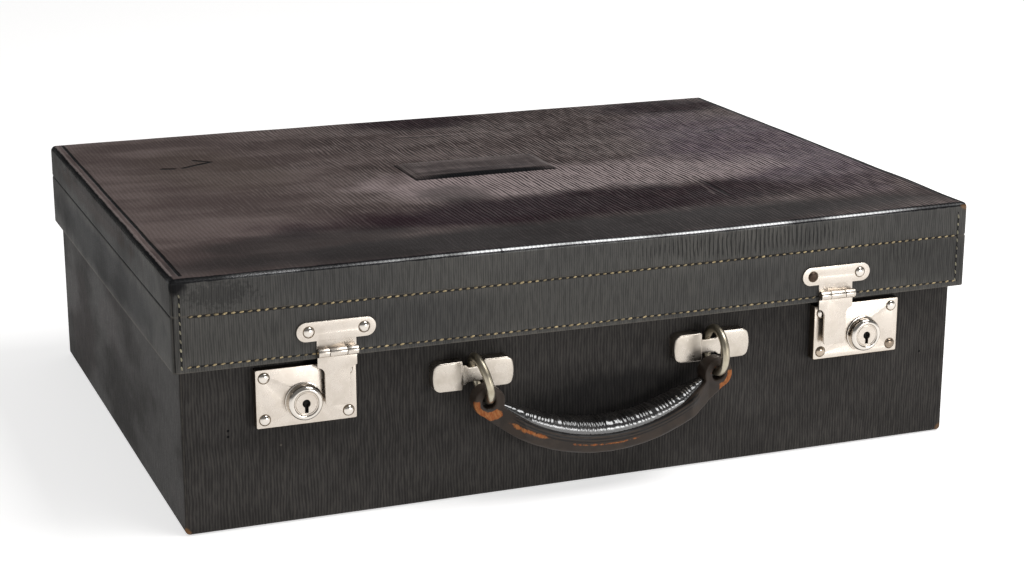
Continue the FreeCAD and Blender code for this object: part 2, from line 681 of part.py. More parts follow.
def draw_crown(sketch, wide, base_y, rise):
    """A flat base with one arc over it."""
    half, low, high = number(wide) / 2, number(base_y), number(rise)
    left, right, top = Vector(-half, low, 0), Vector(half, low, 0), Vector(0, low + high, 0)
    line = sketch.addGeometry(Part.LineSegment(left, right), False)
    arc = sketch.addGeometry(Part.Arc(right, top, left), False)
    sketch.addConstraint(Sketcher.Constraint("Coincident", line, 2, arc, 1))
    sketch.addConstraint(Sketcher.Constraint("Coincident", line, 1, arc, 2))
    radius = (half * half + high * high) / (2 * high)
    datum(sketch, Sketcher.Constraint("DistanceX", line, 1, -1, 1, half), f"({wide}) / 2")
    datum(sketch, Sketcher.Constraint("DistanceX", -1, 1, line, 2, half), f"({wide}) / 2")
    datum(sketch, Sketcher.Constraint("DistanceY", -1, 1, line, 1, low), base_y)
    datum(sketch, Sketcher.Constraint("DistanceY", -1, 1, line, 2, low), base_y)
    datum(sketch, Sketcher.Constraint("Radius", arc, radius),
          f"((({wide}) / 2)^2 + ({rise})^2) / (2 * ({rise}))")


def make_hinge(side, sign):
    """Base leaf, lid leaf and pin of one back hinge; returns the rivets of both leaves."""
    x = f"{sign} * hinge_x"
    axis = (x, "hinge_y", "hinge_z")
    end_long = "hinge_wide / 2 - hinge_mid / 2 - knuckle_gap"
    ends = [("0 - hinge_wide / 2", end_long), ("hinge_mid / 2 + knuckle_gap", end_long)]
    middle = [("0 - hinge_mid / 2", "hinge_mid")]
    whole = [("0 - hinge_wide / 2", "hinge_wide")]
    room = "hinge_knuckle + 2 * knuckle_gap"
    end_room = [("0 - hinge_wide / 2", f"{end_long} + knuckle_gap"),
                ("hinge_mid / 2", f"{end_long} + knuckle_gap")]
    mid_room = [("0 - hinge_mid / 2 - knuckle_gap", "hinge_mid + 2 * knuckle_gap")]
    pin_bore = knuckles(f"{side}_hinge_bore", whole, *axis, "hinge_pin + 2 * pin_clear")
    face = "back + hinge_thick"
    into = "hinge_thick + pin_bite"
    rivets = {}
    for part, low_z, barrels, gaps, level in (
            ("base", "hinge_z - hinge_leaf", ends, mid_room, "hinge_z - rivet_offset"),
            ("lid", "hinge_z", middle, end_room, "hinge_z + rivet_offset")):
        name = f"{side}_hinge_{part}"
        leaf = box(f"{name}_sheet", (f"{x} - hinge_wide / 2", "back", low_z),
                   ("hinge_wide", "hinge_thick", "hinge_leaf"))
        solid = join(f"{name}_solid", [leaf] + knuckles(f"{name}_barrel", barrels, *axis, "hinge_knuckle"))
        spots = [f"{x} + ({dx})" for dx in mirrored("rivet_span / 2")]
        bores = [pin_hole(f"{name}_bore_{i}", px, face, level, into, "back") for i, px in enumerate(spots)]
        holes[f"{part}_back"] += bores
        tools = knuckles(f"{name}_room", gaps, *axis, room) + pin_bore + bores
        node(f"{side}_hinge_{part}_leaf", cut(f"{name}_leaf", solid, tools))
        rivets[part] = [domed_pin(f"{name}_rivet_{i}", px, face, level, into, "back") for i, px in enumerate(spots)]
    node(f"{side}_hinge_pin", knuckles(f"{side}_hinge_rod", whole, *axis, "hinge_pin")[0])
    return rivets


def make_base():
    """Boards, leather and lining of the base."""
    middle = ("0", "base_mid")
    half = ("base_half", "base_long / 2")
    node("base_bottom_cover", rounded_prism("bottom_leather", *half, "base_corner", "leather", (*middle, "0")))
    core = rounded_prism("base_core", "base_half - leather", "base_long / 2 - leather", "base_corner - leather",
                         "rim_z - leather", (*middle, "leather"))
    wrap = rounded_prism("base_wrap", *half, "base_corner", "rim_z - leather", (*middle, "leather"), wall="leather")
    behind = box("base_back_room", ("0 - base_half", "side_end", "hinge_z"), ("2 * base_half", "lid_depth", "lid_skirt"))
    walls = holes["base_front"] + holes["base_back"]
    node("base_cover", cut("base_cover", wrap, [behind] + walls))

    wide = "2 * base_half"
    rim = "rim_z - floor_z"
    boards = {
        "bottom": (("0 - base_half", "base_front", "leather"), (wide, "base_long", "base_board"), []),
        "front": (("0 - base_half", "base_front", "floor_z"), (wide, "leather + base_board", rim),
                  holes["base_front"]),
        "back": (("0 - base_half", "inner_back", "floor_z"), (wide, "leather + base_board", "hinge_z - floor_z"),
                 holes["base_back"]),
        "left": (("0 - base_half", "inner_front", "floor_z"), ("leather + base_board", "side_end - inner_front", rim),
                 []),
        "right": (("inner_half", "inner_front", "floor_z"), ("leather + base_board", "side_end - inner_front", rim),
                  []),
    }
    make_boards("base", boards, core)

    outer = box("base_lining_block", ("0 - inner_half", "inner_front", "floor_z"),
                ("2 * inner_half", "inner_back - inner_front", rim))
    inner = box("base_lining_hollow", ("lining - inner_half", "inner_front + lining", "floor_z + lining"),
                ("2 * inner_half - 2 * lining", "inner_back - inner_front - 2 * lining", rim))
    open_back = box("base_lining_back", ("0 - inner_half", "lining_end", "hinge_z"),
                    ("2 * inner_half", "lid_depth", "lid_skirt"))
    node("base_lining", cut("base_lining", outer, [inner, open_back] + holes["base_lining"]))


def make_boards(shell, boards, core):
    """Cut each board from a block, trimmed to the inside of the leather."""
    for name, (low, size, bores) in boards.items():
        label = f"{shell}_{name}_board"
        board = common(f"{label}_trim", box(f"{label}_block", low, size), core)
        node(label, cut(label, board, bores) if bores else board)


def make_lid():
    """Boards, leather, lining and raised plate of the lid."""
    half = ("lid_width / 2", "lid_depth / 2")
    core = rounded_prism("lid_core", "lid_width / 2 - leather", "lid_depth / 2 - leather", "lid_corner - leather",
                         "lid_skirt - leather", ("0", "0", "hinge_z"))
    ease_top(core, "Fillet", "Radius", "top_edge - leather")
    hood = rounded_prism("lid_hood", *half, "lid_corner", "cover_turn", ("0", "0", "case_height - cover_turn"))
    ease_top(hood, "Fillet", "Radius", "top_edge")
    node("lid_top_cover", cut("lid_top_cover", hood, [core]))
    wrap = rounded_prism("lid_wrap", *half, "lid_corner", "lid_skirt - cover_turn", ("0", "0", "hinge_z"),
                         wall="leather")
    node("lid_wall_cover", cut("lid_wall_cover", wrap, holes["lid_front"] + holes["lid_back"]))

    left, front = "0 - lid_width / 2", "lid_front"
    skin = "leather + lid_board"
    tall = "lid_roof - hinge_z"
    between = "2 * lid_inner_y"
    boards = {
        "top": ((left, front, "lid_roof"), ("lid_width", "lid_depth", skin), []),
        "front": ((left, front, "hinge_z"), ("lid_width", skin, tall), holes["lid_front"]),
        "back": ((left, "lid_inner_y", "hinge_z"), ("lid_width", skin, tall), holes["lid_back"]),
        "left": ((left, "0 - lid_inner_y", "hinge_z"), (skin, between, tall), []),
        "right": (("lid_inner_half", "0 - lid_inner_y", "hinge_z"), (skin, between, tall), []),
    }
    make_boards("lid", boards, core)

    outer = box("lid_lining_block", ("0 - lid_inner_half", "0 - lid_inner_y", "hinge_z"),
                ("2 * lid_inner_half", between, tall))
    inner = box("lid_lining_hollow", ("lining - lid_inner_half", "lining - lid_inner_y", "hinge_z"),
                ("2 * lid_inner_half - 2 * lining", f"{between} - 2 * lining", f"{tall} - lining"))
    node("lid_lining", cut("lid_lining", outer, [inner]))

    plate = rounded_prism("name_blank", "name_wide / 2", "name_deep / 2", "name_corner", "name_rise",
                          ("0", "name_back", "case_height"))
    node("name_plate", ease_top(plate, "Chamfer", "Size", "name_bevel"))


def export():
    """Check every object and sub-part, then write one file for each sub-part."""
    doc.recompute()
    failed = [item.Name for item in doc.Objects if {"Invalid", "Error"} & set(item.State)]
    if failed:
        raise RuntimeError(f"failed objects: {failed}")
    for name, item in nodes.items():
        shape = item.Shape
        if shape.isNull() or not shape.isValid() or not shape.Solids:
            raise RuntimeError(f"bad shape: {name}")
    os.makedirs("parts", exist_ok=True)
    for name, item in nodes.items():
        item.Shape.exportStep(f"parts/{name}.step")
        print(f"{name}: {len(item.Shape.Solids)} solid(s), {item.Shape.Volume:.1f} mm3")


washers = []
base_rivets = []
lid_rivets = []
for side, sign in SIDES:
    make_lock(side, sign)
    make_hasp(side, sign)
    washers += make_bracket(side, sign)
    leaf_rivets = make_hinge(side, sign)
    base_rivets += leaf_rivets["base"]
    lid_rivets += leaf_rivets["lid"]
node("handle_stud_washers", group("handle_stud_washers", washers))
node("hinge_base_rivets", group("hinge_base_rivets", base_rivets))
node("hinge_lid_rivets", group("hinge_lid_rivets", lid_rivets))
make_handle()
make_base()
make_lid()
export()
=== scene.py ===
import logging
import math
from dataclasses import dataclass
from enum import Enum
from functools import reduce
from typing import Callable, Mapping, Optional, Sequence, Union

import bmesh
import bpy
import numpy as np
from bpy.types import Material, Mesh, Node, NodeSocket, NodeTree, Object
from mathutils import Matrix, Vector, noise


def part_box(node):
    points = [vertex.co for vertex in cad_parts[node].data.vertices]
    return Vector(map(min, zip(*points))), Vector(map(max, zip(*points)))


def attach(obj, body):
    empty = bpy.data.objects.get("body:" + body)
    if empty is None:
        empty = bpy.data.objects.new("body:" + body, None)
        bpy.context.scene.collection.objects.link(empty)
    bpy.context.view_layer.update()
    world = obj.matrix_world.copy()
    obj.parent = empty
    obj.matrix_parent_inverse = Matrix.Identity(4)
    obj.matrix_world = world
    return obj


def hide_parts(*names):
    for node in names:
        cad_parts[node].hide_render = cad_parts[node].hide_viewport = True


# A worn leather suitcase with nickel locks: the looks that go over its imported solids.

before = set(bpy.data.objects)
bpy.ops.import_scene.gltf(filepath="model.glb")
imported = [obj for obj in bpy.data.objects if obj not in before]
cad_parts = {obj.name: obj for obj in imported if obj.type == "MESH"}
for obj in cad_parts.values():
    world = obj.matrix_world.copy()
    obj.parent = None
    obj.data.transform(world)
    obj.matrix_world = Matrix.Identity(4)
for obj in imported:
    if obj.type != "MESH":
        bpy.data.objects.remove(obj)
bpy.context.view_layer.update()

LOG = logging.getLogger("suitcase")
MM = 0.001
Colour = tuple[float, float, float, float]
Point = tuple[float, float, float]
Term = Union[NodeSocket, float, int]
Sockets = Mapping[str, NodeSocket]
FLOAT, VECTOR = "NodeSocketFloat", "NodeSocketVector"


class Side(Enum):
    """The two halves of the case."""

    LEFT = "left"
    RIGHT = "right"


class Cap(Enum):
    """Which end of a leather box is closed."""

    TOP = "top"
    BOTTOM = "bottom"


class Mark(Enum):
    """What a mark does to the leather under it."""

    SMOKE = "smoke"
    PLUM = "plum"
    # The lilac tone is a painted reflection: the lighter sheen on the right of the top.
    LILAC_SHEEN = "lilac"
    UMBER = "umber"
    # The worn tone is pale wear together with a painted sheen on the middle of the top.
    WORN_AND_SHEEN = "worn"
    CRACK = "crack"
    # PALE and DARK also carry painted highlights and painted shade where the marks say so.
    PALE = "pale"
    DARK = "dark"
    TAN = "tan"


def mm(*values: float) -> Vector:
    """A point given in millimetres, as metres."""
    return Vector([value * MM for value in values])


def smooth(value: np.ndarray, low: float, high: float) -> np.ndarray:
    """A soft step of values from 0 at low to 1 at high."""
    t = np.clip((value - low) / (high - low), 0.0, 1.0)
    return t * t * (3.0 - 2.0 * t)


class Wiring:
    """Puts nodes into a node tree and links them."""

    def __init__(self, tree: NodeTree) -> None:
        """Keep the tree that is wired."""
        self.tree = tree

    def fill(self, item: Node, ins: Mapping) -> None:
        """Set or link a node's inputs.

        Args:
            item: the node.
            ins: values or sockets for its inputs, by name or number.
        """
        for key, value in ins.items():
            if isinstance(value, NodeSocket):
                self.tree.links.new(value, item.inputs[key])
            else:
                item.inputs[key].default_value = value

    def node(self, kind: str, ins: Optional[Mapping] = None, **props: object) -> Node:
        """Add a node.

        Args:
            kind: the node's type name.
            ins: values or sockets for its inputs, by name or number.
            props: the node's own settings.

        Returns:
            The node.
        """
        item = self.tree.nodes.new(kind)
        for key, value in props.items():
            setattr(item, key, value)
        self.fill(item, ins or {})
        return item

    def out(self, kind: str, ins: Optional[Mapping] = None, **props: object) -> NodeSocket:
        """Add a node and give back its first output."""
        return self.node(kind, ins, **props).outputs[0]

    def place(self) -> NodeSocket:
        """Where a point lies in the object's own space, in metres."""
        return self.node("ShaderNodeTexCoord").outputs["Object"]

    def parts(self, vector: NodeSocket) -> Sequence[NodeSocket]:
        """The three parts of a vector."""
        return self.node("ShaderNodeSeparateXYZ", {0: vector}).outputs

    def attribute(self, name: str) -> NodeSocket:
        """The value of a mesh attribute."""
        return self.node("ShaderNodeAttribute", attribute_name=name).outputs["Fac"]

    def math(self, operation: str, *terms: Term, clamp: bool = False) -> NodeSocket:
        """One step of arithmetic on values."""
        return self.out("ShaderNodeMath", dict(enumerate(terms)), operation=operation, use_clamp=clamp)

    def product(self, *terms: Term) -> NodeSocket:
        """Several values multiplied."""
        return reduce(lambda first, second: self.math("MULTIPLY", first, second), terms)

    def total(self, *terms: Term) -> NodeSocket:
        """The largest of several masks."""
        return reduce(lambda first, second: self.math("MAXIMUM", first, second), terms)

    def step(self, value: Term, low: Term, high: Term, start: Term = 0.0, end: Term = 1.0) -> NodeSocket:
        """A soft step of a value, from start at low to end at high."""
        ins = {"Value": value, "From Min": low, "From Max": high, "To Min": start, "To Max": end}
        return self.out("ShaderNodeMapRange", ins, interpolation_type="SMOOTHSTEP")

    def blend(self, factor: Term, first: object, second: object) -> NodeSocket:
        """Mix two colours, given as colours or sockets, by the share of the second."""
        return self.node("ShaderNodeMix", {0: factor, 6: first, 7: second}, data_type="RGBA").outputs[2]

    def vector(self, operation: str, *terms: object) -> NodeSocket:
        """One step of arithmetic on vectors, which gives a vector or a value."""
        result = self.node("ShaderNodeVectorMath", dict(enumerate(terms)), operation=operation).outputs
        return result["Value" if operation in ("LENGTH", "DOT_PRODUCT") else "Vector"]

    def stretch(self, vector: object, scale: Sequence[float]) -> NodeSocket:
        """A vector with each axis multiplied."""
        return self.vector("MULTIPLY", vector, tuple(scale))

    def scaled(self, vector: NodeSocket, factor: Term) -> NodeSocket:
        """A vector multiplied by a value."""
        return self.out("ShaderNodeVectorMath", {0: vector, "Scale": factor}, operation="SCALE")

    def noise(self, vector: object, scale: Term, detail: float = 2.0, rough: float = 0.5) -> NodeSocket:
        """Smooth noise round one half: waves per unit, finer layers and their strength."""
        ins = {"Vector": vector, "Scale": scale, "Detail": detail, "Roughness": rough}
        return self.out("ShaderNodeTexNoise", ins)

    def effect(self, tree: NodeTree, **ins: object) -> Sockets:
        """Place a shared effect and give back its outputs."""
        return self.node("ShaderNodeGroup", ins, node_tree=tree).outputs

    def bump(self, shader: Node, height: NodeSocket, distance: float, strength: float = 1.0) -> None:
        """Give a shader a bumped normal; the distance is the millimetres of a height of 1."""
        ins = {"Height": height, "Distance": distance * MM, "Strength": strength}
        self.fill(shader, {"Normal": self.out("ShaderNodeBump", ins)})


class Effects:
    """Shader node groups that several finishes share."""

    RIB_DRIFT = 2.2
    PATCH_WAVES = 24.0
    PORE_WAVES = 1400.0
    STROKE_WAVES = 220.0

    @staticmethod
    def shared(name: str, ins: Mapping[str, tuple], outs: Sequence[str],
               wire: Callable[[Wiring, Sockets], Sockets]) -> NodeTree:
        """Make a group once, or find it again.

        Args:
            name: the group's name.
            ins: socket type and starting value of each input.
            outs: names of its value outputs.
            wire: wires the group and gives a socket for each output.

        Returns:
            The group.
        """
        found = bpy.data.node_groups.get(name)
        if found:
            return found
        tree = bpy.data.node_groups.new(name, "ShaderNodeTree")
        for label, (kind, start) in ins.items():
            socket = tree.interface.new_socket(label, in_out="INPUT", socket_type=kind)
            if start is not None:
                socket.default_value = start
        for label in outs:
            tree.interface.new_socket(label, in_out="OUTPUT", socket_type=FLOAT)
        wiring = Wiring(tree)
        entry = wiring.node("NodeGroupInput").outputs
        wiring.node("NodeGroupOutput", wire(wiring, entry))
        return tree

    @classmethod
    def rib_grain(cls) -> NodeTree:
        """Long-grained leather: ribs that run along V and follow each other along U."""
        ins = {"Vector": (VECTOR, None), "Pitch": (FLOAT, 0.0016), "Run": (FLOAT, 0.02), "Order": (FLOAT, 0.5)}
        return cls.shared("long_grain", ins, ("Height", "Patch"), cls.wire_ribs)

    @classmethod
    def wire_ribs(cls, w: Wiring, given: Sockets) -> Sockets:
        """Wire the ribs and the patches in which they change.

        Args:
            w: the group's wiring.
            given: the group's inputs.

        Returns:
            A socket for each output.
        """
        parts = w.parts(given["Vector"])
        across = w.math("DIVIDE", parts[0], given["Pitch"])
        along = w.math("DIVIDE", parts[1], given["Run"])
        slow = w.out("ShaderNodeCombineXYZ", {0: w.product(across, 0.13), 1: w.product(along, 0.35)})
        wander = w.product(w.noise(slow, 1.0, 2.0), cls.RIB_DRIFT)
        wave = w.math("SINE", w.product(w.math("ADD", across, wander), math.tau))
        wave = w.math("MULTIPLY_ADD", wave, 0.5, 0.5)
        quick = w.out("ShaderNodeCombineXYZ", {0: across, 1: along})
        loose = w.step(w.noise(quick, 0.85, 3.0, 0.6), 0.3, 0.7)
        even = w.product(wave, given["Order"])
        free = w.product(loose, w.math("SUBTRACT", 1.0, given["Order"]))
        patch = w.step(w.noise(given["Vector"], cls.PATCH_WAVES, 2.0), 0.4, 0.62)
        return {"Height": w.math("ADD", even, free), "Patch": patch}

    @classmethod
    def clouds(cls) -> NodeTree:
        """Broad uneven tone from handling and age, with fine pores."""
        ins = {"Vector": (VECTOR, None), "Size": (VECTOR, (0.06, 0.06, 0.06))}
        return cls.shared("age_clouds", ins, ("Broad", "Pore"), cls.wire_clouds)

    @classmethod
    def wire_clouds(cls, w: Wiring, given: Sockets) -> Sockets:
        """Wire the two scales of unevenness."""
        scaled = w.vector("DIVIDE", given["Vector"], given["Size"])
        return {"Broad": w.step(w.noise(scaled, 1.0, 3.0), 0.34, 0.66),
                "Pore": w.noise(given["Vector"], cls.PORE_WAVES, 2.0, 0.6)}

    @classmethod
    def rubbed_edge(cls) -> NodeTree:
        """Broken wear along an edge, from an attribute that is 1 on the edge."""
        ins = {"Vector": (VECTOR, None), "Edge": (FLOAT, 0.0), "Reach": (FLOAT, 0.5), "Ragged": (FLOAT, 0.6),
               "Grain": (FLOAT, 300.0), "Soft": (FLOAT, 0.4)}
        return cls.shared("rubbed_edge", ins, ("Mask",), cls.wire_edge)

    @staticmethod
    def wire_edge(w: Wiring, given: Sockets) -> Sockets:
        """Wire the broken band.

        Args:
            w: the group's wiring.
            given: the group's inputs.

        Returns:
            A socket for each output.
        """
        broken = w.noise(given["Vector"], given["Grain"], 3.0, 0.65)
        level = w.math("MULTIPLY_ADD", w.math("SUBTRACT", broken, 0.5), given["Ragged"], given["Edge"])
        start = w.math("SUBTRACT", 1.0, given["Reach"])
        return {"Mask": w.step(level, start, w.math("ADD", start, given["Soft"]))}

    @classmethod
    def patch(cls) -> NodeTree:
        """One ragged patch at a place."""
        ins = {"Vector": (VECTOR, None), "Centre": (VECTOR, None), "Reach": (VECTOR, (0.01, 0.01, 0.01)),
               "Ragged": (FLOAT, 1.0), "Grain": (FLOAT, 300.0)}
        return cls.shared("ragged_patch", ins, ("Mask",), cls.wire_patch)

    @staticmethod
    def wire_patch(w: Wiring, given: Sockets) -> Sockets:
        """Wire a soft ellipsoid with a ragged rim.

        Args:
            w: the group's wiring.
            given: the group's inputs.

        Returns:
            A socket for each output.
        """
        away = w.vector("SUBTRACT", given["Vector"], given["Centre"])
        far = w.vector("LENGTH", w.vector("DIVIDE", away, given["Reach"]))
        uneven = w.math("SUBTRACT", w.noise(given["Vector"], given["Grain"], 3.0, 0.6), 0.5)
        return {"Mask": w.step(w.math("MULTIPLY_ADD", uneven, given["Ragged"], far), 1.0, 0.45)}

    @classmethod
    def stroke(cls) -> NodeTree:
        """One scratch, crease or groove between two points."""
        ins = {"Vector": (VECTOR, None), "From": (VECTOR, None), "To": (VECTOR, None), "Width": (FLOAT, 0.001),
               "Ragged": (FLOAT, 1.0)}
        return cls.shared("scratch_run", ins, ("Mask",), cls.wire_stroke)

    @classmethod
    def wire_stroke(cls, w: Wiring, given: Sockets) -> Sockets:
        """Wire the distance to the run, with a little wander.

        Args:
            w: the group's wiring.
            given: the group's inputs.

        Returns:
            A socket for each output.
        """
        run = w.vector("SUBTRACT", given["To"], given["From"])
        away = w.vector("SUBTRACT", given["Vector"], given["From"])
        share = w.math("DIVIDE", w.vector("DOT_PRODUCT", away, run),
                       w.vector("DOT_PRODUCT", run, run), clamp=True)
        gap = w.vector("SUBTRACT", away, w.scaled(run, share))
        far = w.vector("LENGTH", gap)
        uneven = w.math("SUBTRACT", w.noise(given["Vector"], cls.STROKE_WAVES, 3.0, 0.6), 0.5)
        far = w.math("MULTIPLY_ADD", w.product(uneven, given["Ragged"]), given["Width"], far)
        return {"Mask": w.step(far, given["Width"], w.product(given["Width"], 0.35))}


@dataclass(frozen=True)
class Patch:
    """A worn place on the leather, in millimetres."""

    centre: Point
    reach: Point
    mark: Mark
    strength: float = 1.0
    ragged: float = 1.0
    grain: float = 300.0

    def mask(self, w: Wiring, place: NodeSocket) -> NodeSocket:
        """Wire this patch's mask."""
        found = w.effect(Effects.patch(), Vector=place, Centre=mm(*self.centre), Reach=mm(*self.reach),
                         Ragged=self.ragged, Grain=self.grain)["Mask"]
        return w.product(found, self.strength)


@dataclass(frozen=True)
class Scratch:
    """A scratch, crease or groove on the leather, in millimetres."""

    start: Point
    end: Point
    width: float
    mark: Mark
    strength: float = 1.0
    ragged: float = 1.0

    def mask(self, w: Wiring, place: NodeSocket) -> NodeSocket:
        """Wire this scratch's mask."""
        found = w.effect(Effects.stroke(), Vector=place, From=mm(*self.start), To=mm(*self.end),
                         Width=self.width * MM, Ragged=self.ragged)["Mask"]
        return w.product(found, self.strength)


Marks = Sequence[Union[Patch, Scratch]]


@dataclass(frozen=True)
class Sheet:
    """A side of the case that marks are laid out on: two ways along it are free and one is fixed."""

    axis: int
    level: float

    def spot(self, first: float, second: float, fixed: float) -> Point:
        """Three parts from two free ones and the fixed one.

        Args:
            first: part along the first free way.
            second: part along the second free way.
            fixed: part along the fixed way.

        Returns:
            The parts in order.
        """
        parts = [first, second]
        parts.insert(self.axis, fixed)
        return tuple(parts)

    def patches(self, *rows: tuple) -> list[Patch]:
        """Lay out patches: two parts of the centre, three of the reach with the fixed one last, then the rest."""
        return [Patch(self.spot(a, b, self.level), self.spot(wide, tall, deep), *rest)
                for a, b, wide, tall, deep, *rest in rows]

    def strokes(self, *rows: tuple) -> list[Scratch]:
        """Lay out scratches: two parts of the start, two of the end, then the rest."""
        return [Scratch(self.spot(a, b, self.level), self.spot(c, d, self.level), *rest) for a, b, c, d, *rest in rows]


def new_material(name: str) -> tuple[Material, Wiring, Node]:
    """A material with a Principled shader.

    Args:
        name: the finish's name.

    Returns:
        The material, its wiring and its shader.
    """
    material = bpy.data.materials.new(name)
    material.use_nodes = True
    return material, Wiring(material.node_tree), material.node_tree.nodes["Principled BSDF"]


@dataclass(frozen=True)
class LeatherFinish:
    """Worn long-grained leather, with its lengths in millimetres."""

    name: str
    tint: Colour
    other: Colour
    shade: Colour
    pale: Colour
    cloud_size: Point
    pitch: float
    run: float
    order: float
    # Shares of painted shade in the rib valleys and of painted highlight on the rib crests.
    valley_shade: float
    crest_highlight: float
    depth: float
    roughness: tuple[float, float]
    specular: float
    rim_reach: float
    tones: Mapping[Mark, Colour]
    marks: Marks
    flat_end: tuple[float, float, float] = (-900.0, -800.0, 1.0)
    black: Colour = (0.005, 0.005, 0.006, 1.0)
    crack_pitch: float = 2.5
    crack_run: float = 11.0
    front_rim: tuple[float, float] = (-160.0, -166.0)
    right_fade: tuple[float, float] = (225.0, 140.0)

    def build(self) -> Material:
        """Wire the finish.

        Returns:
            The material.
        """
        material, w, shader = new_material(self.name)
        place, grain = w.place(), w.out("ShaderNodeUVMap", uv_map="grain")
        ribs = w.effect(Effects.rib_grain(), Vector=grain, Pitch=self.pitch * MM, Run=self.run * MM, Order=self.order)
        age = w.effect(Effects.clouds(), Vector=place, Size=mm(*self.cloud_size))
        masks = {mark: w.total(*(item.mask(w, place) for item in self.marks if item.mark is mark))
                 for mark in Mark if any(item.mark is mark for item in self.marks)}
        calm = self.calm(w, place, ribs, masks)
        colour = self.ribbed(w, self.broad_tones_and_sheen(w, age, masks), ribs, calm, masks)
        height = w.product(ribs["Height"], calm)
        if Mark.CRACK in masks:
            split = w.effect(Effects.rib_grain(), Vector=grain, Pitch=self.crack_pitch * MM, Run=self.crack_run * MM,
                             Order=0.7)["Height"]
            crack = w.product(w.step(split, 0.4, 0.24), masks[Mark.CRACK])
            colour = w.blend(crack, colour, self.black)
            height = w.math("MULTIPLY_ADD", crack, -1.0, height)
        height = w.math("MULTIPLY_ADD", age["Pore"], 0.3, height)
        if Mark.DARK in masks:
            height = w.math("MULTIPLY_ADD", masks[Mark.DARK], -1.2, height)
        rough = w.step(age["Broad"], 0.0, 1.0, *self.roughness)
        rough = w.math("MULTIPLY_ADD", w.math("SUBTRACT", age["Pore"], 0.5), 0.25, rough, clamp=True)
        w.fill(shader, {"Base Color": self.rubbed(w, colour, place, masks), "Roughness": rough,
                        "Specular IOR Level": self.specular, "Coat Weight": self.shine(w, place, ribs),
                        "Coat Roughness": 0.2, "Coat IOR": 2.6})
        w.bump(shader, height, self.depth)
        return material

    def calm(self, w: Wiring, place: NodeSocket, ribs: Sockets, masks: Mapping[Mark, NodeSocket]) -> NodeSocket:
        """How much of the ribs is left, where smoke or pressing has flattened them.

        Args:
            w: the material's wiring.
            place: where a point lies.
            ribs: the ribs.
            masks: the masks of the marks.

        Returns:
            1 where the ribs are whole.
        """
        smoked = w.math("MULTIPLY_ADD", masks.get(Mark.SMOKE, 0.0), -0.85, 1.0)
        start, stop, least = self.flat_end
        across = w.math("MULTIPLY_ADD", ribs["Patch"], 0.05, w.parts(place)[0])
        return w.product(smoked, w.step(across, start * MM, stop * MM, least, 1.0))

    def broad_tones_and_sheen(self, w: Wiring, age: Sockets, masks: Mapping[Mark, NodeSocket]) -> NodeSocket:
        """The leather's own tone with its broad stains, and the painted sheen on the middle and the right of the top.

        Args:
            w: the material's wiring.
            age: the unevenness from age.
            masks: the masks of the marks.

        Returns:
            The colour.
        """
        colour = w.blend(age["Broad"], self.tint, self.other)
        for mark in (Mark.UMBER, Mark.LILAC_SHEEN, Mark.WORN_AND_SHEEN, Mark.PLUM, Mark.SMOKE):
            if mark in masks:
                colour = w.blend(masks[mark], colour, self.tones[mark])
        return colour

    def ribbed(self, w: Wiring, colour: NodeSocket, ribs: Sockets, calm: NodeSocket,
               masks: Mapping[Mark, NodeSocket]) -> NodeSocket:
        """Darken the valleys between the ribs and lighten the crests: the grain's tone, with painted shade in the
        valleys and painted highlights on the crests.

        Args:
            w: the material's wiring.
            colour: the colour so far.
            ribs: the ribs.
            calm: how much of the ribs is left.
            masks: the masks of the marks.

        Returns:
            The colour.
        """
        # Painted shade in the valleys and painted highlights on the crests, over the grain's own tone.
        valley_shade = w.product(w.step(ribs["Height"], 0.64, 0.2), self.valley_shade, calm)
        lively = w.product(calm, w.math("MULTIPLY_ADD", masks.get(Mark.PLUM, 0.0), -0.7, 1.0))
        crest_highlight = w.product(w.step(ribs["Height"], 0.66, 1.0), self.crest_highlight, lively)
        return w.blend(crest_highlight, w.blend(valley_shade, colour, self.shade), self.pale)

    def rubbed(self, w: Wiring, colour: NodeSocket, place: NodeSocket,
               masks: Mapping[Mark, NodeSocket]) -> NodeSocket:
        """Rub the edges pale, blacken the rim and put the small marks on top, among them painted shade and painted
        highlights.

        Args:
            w: the material's wiring.
            colour: the colour so far.
            place: where a point lies.
            masks: the masks of the marks.

        Returns:
            The colour.
        """
        edge = w.effect(Effects.rubbed_edge(), Vector=place, Edge=w.attribute("edge"), Reach=0.35, Ragged=0.9,
                        Grain=260.0, Soft=0.35)["Mask"]
        colour = w.blend(w.product(edge, 0.45), colour, self.pale)
        rim = w.effect(Effects.rubbed_edge(), Vector=place, Edge=w.attribute("rim"), Reach=self.rim_reach,
                       Ragged=0.25, Grain=180.0, Soft=0.12)["Mask"]
        colour = w.blend(rim, colour, self.black)
        for mark, tone in ((Mark.DARK, self.black), (Mark.PALE, self.pale), (Mark.TAN, self.tones.get(Mark.TAN))):
            if mark in masks:
                colour = w.blend(masks[mark], colour, tone)
        return colour

    def shine(self, w: Wiring, place: NodeSocket, ribs: Sockets) -> NodeSocket:
        """Where polish has gathered on the front rim, broken by the ribs and fading to the right.

        Args:
            w: the material's wiring.
            place: where a point lies.
            ribs: the ribs.

        Returns:
            The weight of the polish.
        """
        spot = w.parts(place)
        start, full = self.front_rim
        fade, whole = self.right_fade
        broken = w.step(w.noise(w.stretch(place, (1.0, 0.4, 0.4)), 200.0, 3.0, 0.7), 0.22, 0.38)
        return w.product(broken, w.step(ribs["Height"], 0.3, 0.75, 0.7, 1.0),
                         w.step(w.noise(place, 24.0, 2.0), 0.38, 0.58, 0.22, 1.0),
                         w.step(spot[0], fade * MM, whole * MM, 0.3, 1.0),
                         w.step(spot[1], start * MM, full * MM), w.step(w.attribute("rim"), 0.36, 0.55))


